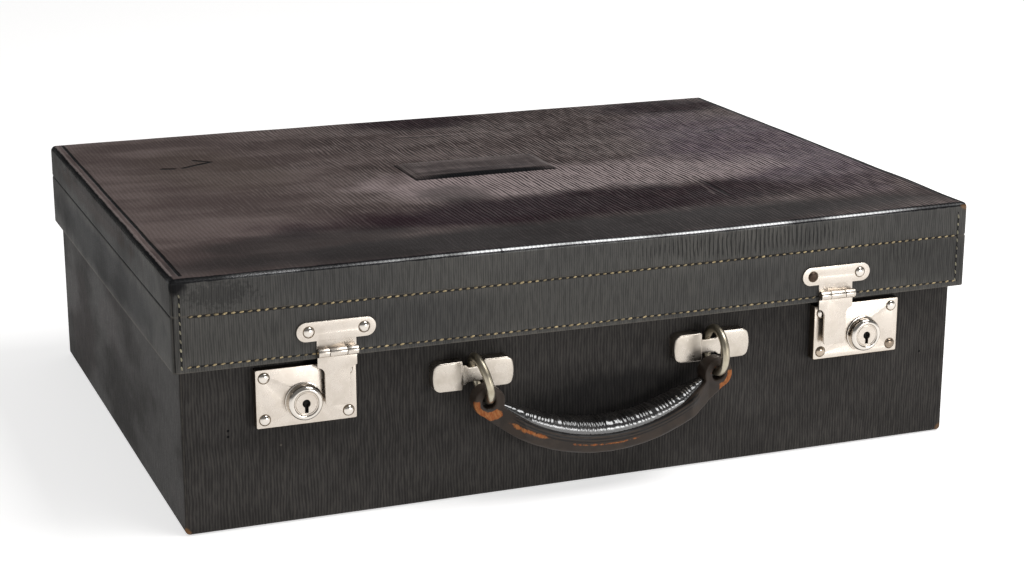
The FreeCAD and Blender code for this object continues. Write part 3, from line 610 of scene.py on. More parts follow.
@dataclass(frozen=True)
class ThreadFinish:
    """Waxed thread with a tone of its own for each stitch."""

    name: str
    bright: Colour
    dim: Colour

    def build(self) -> Material:
        """Wire the finish.

        Returns:
            The material.
        """
        material, w, shader = new_material(self.name)
        twist = w.step(w.noise(w.place(), 1500.0, 2.0), 0.35, 0.65)
        colour = w.blend(w.attribute("tone"), self.bright, self.dim)
        w.fill(shader, {"Base Color": w.blend(w.product(twist, 0.45), colour, self.dim), "Roughness": 0.6})
        w.bump(shader, twist, 0.08)
        return material


@dataclass(frozen=True)
class MetalFinish:
    """Plated metal with rubbed and smudged places."""

    name: str
    tint: Colour
    stain: Colour
    roughness: tuple[float, float]
    stain_share: float
    grain: float = 0.04

    def build(self) -> Material:
        """Wire the finish.

        Returns:
            The material.
        """
        material, w, shader = new_material(self.name)
        place = w.place()
        smudge = w.step(w.noise(place, 110.0, 4.0, 0.6), 0.38, 0.7)
        fleck = w.step(w.noise(place, 900.0, 3.0, 0.6), 0.62, 0.78)
        share = w.product(w.math("ADD", smudge, w.product(fleck, 0.6), clamp=True), self.stain_share)
        w.fill(shader, {"Base Color": w.blend(share, self.tint, self.stain),
                        "Roughness": w.step(smudge, 0.0, 1.0, *self.roughness), "Metallic": 1.0})
        w.bump(shader, w.noise(w.stretch(place, (1.0, 1.0, 14.0)), 420.0, 2.0), self.grain, 0.5)
        return material


@dataclass(frozen=True)
class PlainFinish:
    """A quiet finish with a fine uneven tone: paint, grime, fibre board."""

    name: str
    tint: Colour
    other: Colour
    roughness: float
    scale: float = 500.0
    depth: float = 0.1

    def build(self) -> Material:
        """Wire the finish.

        Returns:
            The material.
        """
        material, w, shader = new_material(self.name)
        speck = w.noise(w.place(), self.scale, 3.0, 0.6)
        colour = w.blend(w.step(speck, 0.35, 0.65), self.tint, self.other)
        w.fill(shader, {"Base Color": colour, "Roughness": self.roughness})
        w.bump(shader, speck, self.depth)
        return material


@dataclass(frozen=True)
class ClothFinish:
    """Plain-woven lining."""

    name: str
    tint: Colour
    other: Colour
    thread: float = 0.8

    def build(self) -> Material:
        """Wire the weave.

        Returns:
            The material.
        """
        material, w, shader = new_material(self.name)
        place = w.place()
        turns = w.stretch(place, (math.tau / (self.thread * MM),) * 3)
        waves = [w.math("SINE", part) for part in w.parts(turns)]
        weave = w.product(waves[0], waves[1], 0.5)
        weave = w.math("MULTIPLY_ADD", w.product(w.math("ADD", waves[0], waves[1]), waves[2]), 0.25, weave)
        weave = w.math("ADD", weave, 0.5, clamp=True)
        age = w.step(w.noise(place, 18.0, 4.0), 0.35, 0.7)
        colour = w.blend(w.product(age, 0.35), w.blend(weave, self.other, self.tint), self.other)
        w.fill(shader, {"Base Color": colour, "Roughness": 0.85})
        w.bump(shader, weave, 0.15)
        return material


@dataclass(frozen=True)
class HandleFinish:
    """Handled leather: near black and glossy, worn to bare brown where an attribute says so."""

    name: str
    tint: Colour
    other: Colour
    bare: Colour
    fray: Colour
    roughness: tuple[float, float]
    pebble: float
    depth: float
    coat: float = 0.0
    specular: float = 0.5
    crease: Colour = (0.004, 0.004, 0.004, 1.0)

    def build(self) -> Material:
        """Wire the finish.

        Returns:
            The material.
        """
        material, w, shader = new_material(self.name)
        place = w.place()
        age = w.effect(Effects.clouds(), Vector=place, Size=mm(9, 9, 7))
        colour = w.blend(age["Broad"], self.tint, self.other)
        colour = w.blend(w.step(w.attribute("crease"), 0.2, 0.9), colour, self.crease)
        worn = w.effect(Effects.rubbed_edge(), Vector=place, Edge=w.attribute("worn"), Reach=0.62, Ragged=1.5,
                        Grain=330.0)["Mask"]
        fibre = w.noise(w.stretch(place, (1.0, 1.0, 0.35)), 900.0, 4.0, 0.65)
        bare = w.blend(w.step(fibre, 0.35, 0.7), self.bare, self.fray)
        rough = w.step(age["Broad"], 0.0, 1.0, *self.roughness)
        w.fill(shader, {"Base Color": w.blend(worn, colour, bare),
                        "Roughness": w.math("MULTIPLY_ADD", worn, 0.35, rough, clamp=True),
                        "Specular IOR Level": self.specular, "Coat Weight": self.coat, "Coat Roughness": 0.2,
                        "Coat IOR": 2.0})
        cells = w.node("ShaderNodeTexVoronoi", {"Vector": place, "Scale": 1.0 / (self.pebble * MM)},
                       feature="SMOOTH_F1").outputs["Distance"]
        w.bump(shader, w.math("MULTIPLY_ADD", w.product(fibre, worn), 0.8, w.product(cells, -1.0)), self.depth)
        return material


class Shop:
    """The finishes, each made once."""

    def __init__(self) -> None:
        """Make every finish of the case."""
        self.leathers()
        self.metals()
        self.grime = PlainFinish("pin_grime", (0.10, 0.066, 0.036, 1), (0.19, 0.135, 0.08, 1), 0.6).build()
        # Near-black finish for the keyhole's well floor: painted shade in the keyhole.
        self.shaded_well = PlainFinish("key_well", (0.004, 0.004, 0.004, 1), (0.008, 0.007, 0.006, 1), 0.9).build()
        self.japan = PlainFinish("lock_japan", (0.016, 0.012, 0.009, 1), (0.035, 0.025, 0.017, 1), 0.4).build()
        # Near-black finish for the needle holes: painted shade in the holes.
        self.hole = PlainFinish("needle_hole", (0.003, 0.003, 0.003, 1), (0.006, 0.005, 0.005, 1), 0.9).build()
        self.board = PlainFinish("turned_in_leather", (0.022, 0.019, 0.017, 1), (0.035, 0.03, 0.026, 1), 0.6, 700.0,
                                 0.15).build()
        self.thread = ThreadFinish("waxed_thread", (0.58, 0.45, 0.24, 1), (0.15, 0.115, 0.062, 1)).build()
        self.old_thread = ThreadFinish("greyed_thread", (0.38, 0.35, 0.23, 1), (0.11, 0.10, 0.07, 1)).build()
        self.cloth = ClothFinish("lining_weave", (0.40, 0.31, 0.215, 1), (0.28, 0.205, 0.135, 1)).build()
        self.core = HandleFinish(
            "handle_leather", (0.024, 0.017, 0.013, 1), (0.040, 0.029, 0.022, 1), (0.25, 0.068, 0.018, 1),
            (0.38, 0.165, 0.06, 1), (0.40, 0.55), 0.9, 0.05, 0.0, 0.22).build()
        self.grip = HandleFinish(
            "grip_leather", (0.008, 0.008, 0.008, 1), (0.016, 0.014, 0.013, 1), (0.2, 0.08, 0.03, 1),
            (0.3, 0.16, 0.08, 1), (0.14, 0.3), 1.1, 0.12, 0.8).build()

    def leathers(self) -> None:
        """Make the leathers of the lid and the base."""
        tan = (0.24, 0.125, 0.055, 1.0)
        self.lid_wall = LeatherFinish(
            "lid_wall_leather", (0.094, 0.091, 0.085, 1), (0.078, 0.076, 0.073, 1), (0.022, 0.021, 0.020, 1),
            (0.15, 0.135, 0.115, 1), (90, 90, 40), 1.25, 12.0, 0.42, 0.40, 0.2, 0.12, (0.50, 0.62), 0.035, 0.60,
            {Mark.UMBER: (0.062, 0.043, 0.036, 1), Mark.TAN: tan}, self.wall_marks()).build()
        self.lid_top = LeatherFinish(
            "lid_top_leather", (0.152, 0.116, 0.108, 1), (0.088, 0.065, 0.061, 1), (0.008, 0.005, 0.005, 1),
            (0.27, 0.222, 0.210, 1), (85, 36, 60), 2.4, 16.0, 0.62, 1.0, 0.75, 0.5, (0.42, 0.55), 0.03, 0.72,
            {Mark.UMBER: (0.088, 0.066, 0.054, 1), Mark.LILAC_SHEEN: (0.165, 0.124, 0.155, 1),
             Mark.PLUM: (0.022, 0.008, 0.013, 1), Mark.SMOKE: (0.026, 0.023, 0.023, 1),
             Mark.WORN_AND_SHEEN: (0.42, 0.338, 0.335, 1)}, self.top_marks(), (-160.0, 90.0, 0.16)).build()
        self.name_plate = LeatherFinish(
            "name_plate_leather", (0.130, 0.102, 0.098, 1), (0.080, 0.064, 0.062, 1), (0.012, 0.009, 0.009, 1),
            (0.19, 0.165, 0.155, 1), (30, 12, 30), 1.5, 20.0, 0.5, 0.6, 0.25, 0.18, (0.42, 0.56), 0.04, 0.05,
            {Mark.PLUM: (0.02, 0.014, 0.016, 1)}, self.plate_marks()).build()
        self.base = LeatherFinish(
            "base_leather", (0.055, 0.051, 0.048, 1), (0.042, 0.039, 0.037, 1), (0.011, 0.010, 0.010, 1),
            (0.105, 0.094, 0.080, 1), (80, 80, 34), 1.65, 9.5, 0.5, 0.48, 0.26, 0.2, (0.48, 0.62), 0.035, 0.2,
            {Mark.UMBER: (0.066, 0.055, 0.053, 1), Mark.TAN: tan}, self.base_marks()).build()

    def metals(self) -> None:
        """Make the metals."""
        self.nickel = MetalFinish(
            "worn_nickel", (0.585, 0.53, 0.47, 1), (0.44, 0.385, 0.325, 1), (0.24, 0.36), 0.4, 0.006).build()
        self.rubbed = MetalFinish(
            "rubbed_nickel", (0.50, 0.455, 0.40, 1), (0.35, 0.305, 0.25, 1), (0.26, 0.4), 0.45, 0.006).build()
        self.bright = MetalFinish(
            "polished_nickel", (0.66, 0.615, 0.56, 1), (0.52, 0.47, 0.4, 1), (0.06, 0.14), 0.2, 0.01).build()
        self.dull = MetalFinish(
            "brassy_nickel", (0.46, 0.42, 0.33, 1), (0.30, 0.255, 0.18, 1), (0.28, 0.42), 0.6).build()
        self.brass = MetalFinish(
            "rubbed_brass_edge", (0.50, 0.38, 0.25, 1), (0.22, 0.15, 0.09, 1), (0.3, 0.5), 0.7).build()
        self.aged = MetalFinish(
            "aged_nickel", (0.40, 0.33, 0.26, 1), (0.14, 0.1, 0.07, 1), (0.14, 0.3), 0.8).build()
        self.rust = MetalFinish(
            "bare_iron", (0.10, 0.07, 0.052, 1), (0.05, 0.033, 0.024, 1), (0.4, 0.55), 0.9, 0.12).build()
        self.steel = MetalFinish(
            "plain_steel", (0.52, 0.5, 0.47, 1), (0.3, 0.26, 0.22, 1), (0.3, 0.5), 0.5).build()

    @staticmethod
    def wall_marks() -> Marks:
        """Marks on the lid's front and left end: (x, z) on the front, (y, z) on the end.

        Returns:
            The marks.
        """
        front, face, left = Sheet(1, -171.5), Sheet(1, -171.4), Sheet(0, -228.5)
        return front.patches(
            (-204, 129.5, 22, 8, 6, Mark.DARK, 0.3, 2.6, 520.0),
            (90, 128.3, 85, 9.5, 8, Mark.CRACK, 0.6, 1.1, 140.0),
            (190, 114, 24, 8, 8, Mark.CRACK, 0.35, 1.2, 60.0),
            (0, 104, 420, 15, 7, Mark.DARK, 0.14, 0.2, 30.0),
            (200, 108, 110, 18, 7, Mark.DARK, 0.26, 0.4, 30.0),
        ) + face.strokes(
            (-220, 118.8, -120, 118.4, 0.85, Mark.DARK, 0.7, 0.5),
            (-120, 118.4, 80, 118.8, 0.85, Mark.DARK, 0.7, 0.5),
            (80, 118.8, 220, 119.5, 0.85, Mark.DARK, 0.7, 0.5),
            (-221, 92.9, 0, 92.3, 0.7, Mark.DARK, 0.6, 0.5),
            (0, 92.3, 221, 93.0, 0.7, Mark.DARK, 0.6, 0.5),
            (-224.2, 92.8, -224.2, 130, 0.8, Mark.DARK, 0.85, 0.5),
            (222.0, 93.5, 222.0, 130.5, 0.8, Mark.DARK, 0.85, 0.5),
        ) + left.strokes(
            (-168, 119.2, 168, 119.2, 0.9, Mark.DARK, 1.0, 0.4),
            # Pale line along the top edge: wear, with a painted highlight on the ridge.
            (-160, 137.2, 166, 137.2, 0.8, Mark.PALE, 0.4, 1.2),
            (-166, 90.6, 166, 90.6, 0.9, Mark.PALE, 0.3, 0.5),
        ) + left.patches(
            (30, 130, 150, 8, 5, Mark.UMBER, 0.8, 1.6, 70.0),
            (20, 134, 140, 4, 4, Mark.DARK, 0.5, 2.6, 420.0),
            # These two broad dark patches are painted shade on the left end, over its darker leather.
            (-20, 126, 190, 12, 4, Mark.DARK, 0.35, 1.0, 60.0),
            (10, 104, 220, 18, 4, Mark.DARK, 0.75, 0.8, 40.0),
        ) + [
            Scratch((-227.6, -171.0, 91), (-227.6, -171.0, 134), 0.9, Mark.DARK, 0.8, 0.4),
            Patch((-227, -171.2, 135.2), (9, 4, 7), Mark.DARK, 0.9, 0.5),
            Patch((226, -171.0, 136.5), (3.5, 3, 3), Mark.TAN, 0.5),
        ]

    @staticmethod
    def top_marks() -> Marks:
        """Marks on the lid's top, by x and y.

        Returns:
            The marks.
        """
        return Sheet(2, 138.4).strokes(
            (-177, 77, -171, 75.5, 2.4, Mark.DARK),
            (-165, 75.5, -146, 86, 2.1, Mark.DARK),
            (-146, 86, -154, 94, 2.2, Mark.DARK),
            (-221.6, 166, -221.6, -164, 1.4, Mark.DARK, 1.0, 0.6),
            (225.0, 168, 225.0, -164, 2.4, Mark.DARK, 1.0, 0.4),
            (172, 59, 190, 64, 1.2, Mark.DARK, 0.7),
            (190, 64, 206, 66, 1.1, Mark.DARK, 0.6),
            (158, 130, 216, 128, 1.6, Mark.DARK, 0.6, 1.5),
            (-18, 112, 14, 108, 1.8, Mark.DARK, 0.55, 1.5),
            (-18, 116, 12, 111, 1.6, Mark.PALE, 0.35),
            (12, 111, 48, 110, 1.6, Mark.PALE, 0.4),
            (112, -56, 110, -108, 1.4, Mark.DARK, 0.6, 1.4),
            (110, -52, 104, -100, 1.2, Mark.PALE, 0.25, 1.4),
            (104, 2, 204, -4, 1.2, Mark.PALE, 0.3, 2.0),
            (100, 80, 103, 8, 1.4, Mark.PALE, 0.15, 2.0),
        ) + Sheet(2, 138.2).strokes(
            # Pale line along the left edge: wear, with a painted highlight on the ridge.
            (-225.6, 166, -225.6, -162, 1.0, Mark.PALE, 0.6, 1.6),
        ) + Sheet(2, 138.4).patches(
            # Pale wear and a painted sheen over the middle of the top.
            (40, -30, 165, 52, 9, Mark.WORN_AND_SHEEN, 0.8, 1.3, 18.0),
            (-150, 60, 60, 80, 9, Mark.UMBER, 0.5, 1.0, 20.0),
            # Painted reflection: the lighter lilac sheen on the right of the top.
            (190, 0, 95, 160, 9, Mark.LILAC_SHEEN, 0.75, 0.9, 16.0),
            (15, -96, 225, 42, 9, Mark.PLUM, 1.0, 0.8, 24.0),
            (5, 156, 60, 32, 9, Mark.PLUM, 0.92, 0.9, 30.0),
            (185, 146, 75, 28, 9, Mark.PLUM, 0.9, 0.9, 30.0),
            (0, -150, 330, 34, 9, Mark.SMOKE, 0.95, 0.4, 30.0),
            (-36, -46, 30, 30, 9, Mark.SMOKE, 0.6, 0.7, 40.0),
            (-140, -124, 85, 34, 9, Mark.SMOKE, 0.7, 0.8, 30.0),
        )

    @staticmethod
    def plate_marks() -> Marks:
        """Marks on the name plate by x and y: painted shade round its foot and on its front slope, painted highlights
        on its brow and side slopes.

        Returns:
            The marks.
        """
        return Sheet(2, 138.6).strokes(
            # Painted shade round the plate's foot.
            (-45, -8.0, 45, -8.0, 1.8, Mark.DARK, 1.0, 0.3),
            (-45, 36.0, 45, 36.0, 1.5, Mark.DARK, 0.9, 0.4),
            (-45.1, -8, -45.1, 36, 1.3, Mark.DARK, 0.8, 0.5),
            (45.1, -8, 45.1, 36, 1.3, Mark.DARK, 0.8, 0.5),
        ) + Sheet(2, 140).strokes(
            # Painted highlights on the plate's brow and its side slopes.
            (-40, 32.4, 40, 32.4, 1.7, Mark.PALE, 0.7),
            (-42.6, 0, -42.6, 30, 1.5, Mark.PALE, 0.45),
            (42.4, 0, 42.4, 30, 1.8, Mark.PALE, 0.55),
        ) + [
            # Painted shadow on the front slope; the plum patch after it is the face's own tone.
            Patch((0, -6.6, 139.2), (62, 6.0, 7), Mark.DARK, 1.0, 0.2, 200.0),
            Patch((0, 3, 140), (44, 6, 4), Mark.PLUM, 0.6, 0.6),
        ]

    @staticmethod
    def base_marks() -> Marks:
        """Marks on the base's front and left end: (x, z) on the front, (y, z) on the end.

        Returns:
            The marks.
        """
        return Sheet(1, -163.5).patches(
            (-200.2, 54.3, 0.9, 0.9, 2, Mark.DARK, 1.0, 0.3),
            (-200.3, 51.1, 0.9, 0.9, 2, Mark.DARK, 1.0, 0.3),
            (206.0, 50.4, 0.8, 0.8, 2, Mark.DARK, 1.0, 0.3),
            (-172.7, 43.1, 0.8, 0.8, 2, Mark.PALE, 1.0, 0.5),
            # Painted shadow of the handle on the wall behind it, with the leather darkened by hands.
            (14, 47, 74, 17, 6, Mark.DARK, 0.5, 0.8, 40.0),
        ) + Sheet(1, -163).patches(
            (-223.5, 1.5, 3, 3.2, 4, Mark.TAN, 0.9),
            (222, 2, 3.5, 3, 4, Mark.TAN, 0.45),
        ) + Sheet(0, -223.9).patches(
            (120, 36, 60, 40, 6, Mark.UMBER, 0.55, 1.8, 60.0),
            (20, 66, 40, 22, 6, Mark.UMBER, 0.5, 1.8, 60.0),
            (-150, 10, 34, 14, 6, Mark.UMBER, 0.3, 1.4, 60.0),
        )


def dress(piece: Object, *finishes: Material) -> None:
    """Give a piece its finishes in place of any that it has.

    Args:
        piece: the piece.
        finishes: materials for its slots.
    """
    piece.data.materials.clear()
    for finish in finishes:
        piece.data.materials.append(finish)


def publish(name: str, mesh: Mesh, *finishes: Material) -> Object:
    """Put a mesh into the scene.

    Args:
        name: the piece's name.
        mesh: its mesh, with its place in it.
        finishes: materials for its slots.

    Returns:
        The object.
    """
    piece = bpy.data.objects.new(name, mesh)
    bpy.context.scene.collection.objects.link(piece)
    dress(piece, *finishes)
    return piece


def settle(piece: Object, body: str, slot: str, *nodes: str) -> None:
    """Tie a piece to its body and hide the solids it stands for.

    Args:
        piece: the piece.
        body: the body that it moves with.
        slot: not used.
        nodes: the solids that it replaces.
    """
    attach(piece, body)
    if nodes:
        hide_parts(*nodes)
    LOG.info("%s on %s: %d faces", piece.name, body, len(piece.data.polygons))


def dress_solid(node: str, finish: Material) -> None:
    """Give a solid that stays in view its finish."""
    dress(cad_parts[node], finish)
    LOG.info("%s dressed with %s", node, finish.name)


def box_mm(node: str) -> tuple[Vector, Vector]:
    """The low and the high corner of a solid's box, in millimetres."""
    low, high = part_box(node)
    return low / MM, high / MM


def evaluated(piece: Object) -> Mesh:
    """Turn a piece with modifiers into a plain mesh.

    Args:
        piece: the piece; its modifiers are removed.

    Returns:
        The new mesh, also given to the piece.
    """
    bpy.context.view_layer.update()
    graph = bpy.context.evaluated_depsgraph_get()
    mesh = bpy.data.meshes.new_from_object(piece.evaluated_get(graph), depsgraph=graph)
    piece.modifiers.clear()
    piece.data = mesh
    return mesh


def shade(mesh: Mesh, sharp: Optional[float] = None) -> None:
    """Shade a mesh smooth.

    Args:
        mesh: the mesh.
        sharp: degrees over which an edge stays sharp, if any does.
    """
    mesh.polygons.foreach_set("use_smooth", [True] * len(mesh.polygons))
    if sharp is not None:
        mesh.set_sharp_from_angle(angle=math.radians(sharp))


def finish_mesh(build: bmesh.types.BMesh, name: str, sharp: float = 40.0, outwards: bool = False) -> Mesh:
    """Close a bmesh into a smooth-shaded mesh with sharp edges by angle.

    Args:
        build: the bmesh, which is freed.
        name: the mesh's name.
        sharp: degrees over which an edge stays sharp.
        outwards: whether the faces are turned outwards first.

    Returns:
        The mesh.
    """
    if outwards:
        bmesh.ops.recalc_face_normals(build, faces=build.faces)
    mesh = bpy.data.meshes.new(name)
    build.to_mesh(mesh)
    build.free()
    shade(mesh, sharp)
    return mesh


def solid_copy(node: str) -> bmesh.types.BMesh:
    """A solid's mesh with its corners joined.

    Args:
        node: the solid's name.

    Returns:
        The bmesh.
    """
    build = bmesh.new()
    build.from_mesh(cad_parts[node].data)
    bmesh.ops.remove_doubles(build, verts=build.verts, dist=1e-6)
    return build


def eased_copy(node: str, bevel: float, *finishes: Material) -> Object:
    """A copy of a solid with its corners eased.

    Args:
        node: the solid's name.
        bevel: width of the eased corner in millimetres.
        finishes: material of the faces, and one more for eased corners that differ.

    Returns:
        The piece.
    """
    name = f"{node}_eased"
    build = solid_copy(node)
    bmesh.ops.dissolve_limit(build, angle_limit=math.radians(1.0), verts=build.verts, edges=build.edges)
    piece = publish(name, finish_mesh(build, name), *finishes)
    ease = piece.modifiers.new("ease", "BEVEL")
    ease.width = bevel * MM
    ease.segments = 3
    ease.material = len(finishes) - 1
    ease.limit_method = "ANGLE"
    ease.angle_limit = math.radians(35.0)
    shade(evaluated(piece), 50.0)
    return piece


def loft(build: bmesh.types.BMesh, rows: list[list[bmesh.types.BMVert]], ring: bool, tube: bool) -> None:
    """Join rows of points with faces.

    Args:
        build: the bmesh that the points are in.
        rows: rows with as many points each.
        ring: whether the last row joins the first; a tube that is no ring gets two end faces.
        tube: whether the last point of each row joins its first.
    """
    for here, there in zip(rows, rows[1:] + rows[:1] if ring else rows[1:]):
        for a in range(len(here) if tube else len(here) - 1):
            b = (a + 1) % len(here)
            build.faces.new((here[a], here[b], there[b], there[a]))
    if tube and not ring:
        for row in (rows[0], rows[-1]):
            build.faces.new(row)


def lathe(profile: Sequence[tuple[float, float]], centre: Vector, steps: int, name: str,
          reach: Optional[Callable[[float, int], Optional[float]]] = None) -> Mesh:
    """Turn a profile about a line that points out of the front.

    Args:
        profile: radius and height of each point, in millimetres; a height rises towards the front.
        centre: where the axis meets the plate.
        steps: divisions round the axis.
        name: the mesh's name.
        reach: gives another radius, or None, for an angle and a point of the profile.

    Returns:
        The mesh.
    """
    build = bmesh.new()
    rings = []
    for step in range(steps):
        angle = math.tau * step / steps
        ring = []
        for index, (radius, height) in enumerate(profile):
            wide = reach(angle, index) if reach else None
            wide = radius if wide is None else wide
            ring.append(build.verts.new(centre + mm(wide * math.cos(angle), -height, wide * math.sin(angle))))
        rings.append(ring)
    loft(build, rings, ring=True, tube=False)
    bmesh.ops.remove_doubles(build, verts=build.verts, dist=1e-7)
    return finish_mesh(build, name, 35.0, True)


def edge_lines(low: float, high: float, radius: float, pitch: float, extra: Sequence[float] = (),
               ends: tuple[bool, bool] = (True, True)) -> list[float]:
    """Grid lines along one side of a box, close together at its rounded ends.

    Args:
        low: the first line.
        high: the last line.
        radius: radius of the rounded ends.
        pitch: spacing of the other lines.
        extra: further lines.
        ends: whether each end is rounded.

    Returns:
        The lines in order.
    """
    arc = [radius * math.tan(math.radians(turn)) for turn in (45, 36, 27, 18, 9, 0)]
    start = low + radius if ends[0] else low
    stop = high - radius if ends[1] else high
    count = max(2, round((stop - start) / pitch) + 1)
    lines = list(np.linspace(start, stop, count)) + list(extra)
    lines += [start - t for t in arc if ends[0]] + [stop + t for t in arc if ends[1]]
    kept: list[float] = []
    for line in sorted(lines):
        if not kept or line - kept[-1] > 0.05 * MM:
            kept.append(line)
    return kept


@dataclass
class LeatherBox:
    """A skin of leather over a box with an open end; lengths are in metres."""

    name: str
    low: Vector
    high: Vector
    radius: float
    cap: Optional[Cap]
    pitch: float
    shape: Callable[[Vector, Vector], Vector]
    extra_y: Sequence[float] = ()
    extra_z: Sequence[float] = ()
    drop: Optional[Callable[[Vector], bool]] = None
    thick: float = 1.0 * MM
    edge_fade: float = 2.0 * MM
    rim_fade: float = 2.6 * MM

    def build(self) -> Object:
        """Make the skin as a closed mesh.

        Returns:
            The piece, with a grain UV map in metres and the attributes edge and rim.
        """
        r = self.radius
        capped = (self.cap is Cap.BOTTOM, self.cap is Cap.TOP)
        xs = edge_lines(self.low.x, self.high.x, r, self.pitch)
        ys = edge_lines(self.low.y, self.high.y, r, self.pitch, self.extra_y)
        zs = edge_lines(self.low.z, self.high.z, r, self.pitch, self.extra_z, capped)
        nx, ny, nz = len(xs), len(ys), len(zs)
        build = bmesh.new()
        uv = build.loops.layers.uv.new("grain")
        edge = build.verts.layers.float.new("edge")
        rim = build.verts.layers.float.new("rim")
        made: dict[tuple[int, int, int], bmesh.types.BMVert] = {}
        raw: dict[bmesh.types.BMVert, Vector] = {}

        def corner(i: int, j: int, k: int) -> bmesh.types.BMVert:
            """The vertex at a grid crossing.

            Args:
                i: line along X.
                j: line along Y.
                k: line along Z.

            Returns:
                The vertex, made on its first use.
            """
            key = (i, j, k)
            if key not in made:
                spot = Vector((xs[i], ys[j], zs[k]))
                made[key] = vert = build.verts.new(self.rounded(spot, capped))
                raw[vert] = spot
                vert[edge], vert[rim] = self.wear(spot, capped)
            return made[key]

        sheets = [("y", 0, Vector((0, -1, 0))), ("y", ny - 1, Vector((0, 1, 0))),
                  ("x", 0, Vector((-1, 0, 0))), ("x", nx - 1, Vector((1, 0, 0)))]
        if self.cap:
            sheets.append(("z", nz - 1, Vector((0, 0, 1))) if capped[1] else ("z", 0, Vector((0, 0, -1))))
        for axis, fixed, out in sheets:
            first, second = {"x": (ny, nz), "y": (nx, nz), "z": (nx, ny)}[axis]
            for a in range(first - 1):
                for b in range(second - 1):
                    spots = ((a, b), (a + 1, b), (a + 1, b + 1), (a, b + 1))
                    keys = [{"x": (fixed, p, q), "y": (p, fixed, q), "z": (p, q, fixed)}[axis] for p, q in spots]
                    middle = sum((Vector((xs[i], ys[j], zs[k])) for i, j, k in keys), Vector()) / 4
                    if self.drop and self.drop(middle):
                        continue
                    face = build.faces.new([corner(*key) for key in keys])
                    face.normal_update()
                    if face.normal.dot(out) < 0:
                        face.normal_flip()
                    for loop in face.loops:
                        spot = raw[loop.vert]
                        loop[uv].uv = {"x": (spot.y, spot.z), "y": (spot.x, spot.z),
                                       "z": (spot.x, self.high.z + spot.y - self.low.y)}[axis]
        piece = publish(self.name, finish_mesh(build, self.name, 80.0))
        wall = piece.modifiers.new("wall", "SOLIDIFY")
        wall.thickness = self.thick
        wall.offset = -1.0
        shade(evaluated(piece), 60.0)
        return piece

    def rounded(self, spot: Vector, capped: tuple[bool, bool]) -> Vector:
        """A point of the plain box, moved to the rounded and settled skin.

        Args:
            spot: the point.
            capped: whether the bottom and the top are closed.

        Returns:
            The moved point.
        """
        r = self.radius
        core = Vector((min(max(spot.x, self.low.x + r), self.high.x - r),
                       min(max(spot.y, self.low.y + r), self.high.y - r),
                       spot.z))
        if capped[1]:
            core.z = min(spot.z, self.high.z - r)
        if capped[0]:
            core.z = max(spot.z, self.low.z + r)
        out = (spot - core).normalized()
        return self.shape(core + out * r, out)

    def wear(self, spot: Vector, capped: tuple[bool, bool]) -> tuple[float, float]:
        """How near a point is to any edge, and to the edge of a closed top.

        Args:
            spot: the point.
            capped: whether the bottom and the top are closed.

        Returns:
            Two shares that are 1 on the edge.
        """
        across = min(spot.x - self.low.x, self.high.x - spot.x)
        deep = min(spot.y - self.low.y, self.high.y - spot.y)
        above, below = self.high.z - spot.z, spot.z - self.low.z
        end, open_end = (above, below) if capped[1] else (below, above)
        near = min(sorted((across, deep, end))[1], open_end)
        rim = math.exp(-max(end, min(across, deep)) / self.rim_fade) if capped[1] else 0.0
        return math.exp(-near / self.edge_fade), rim


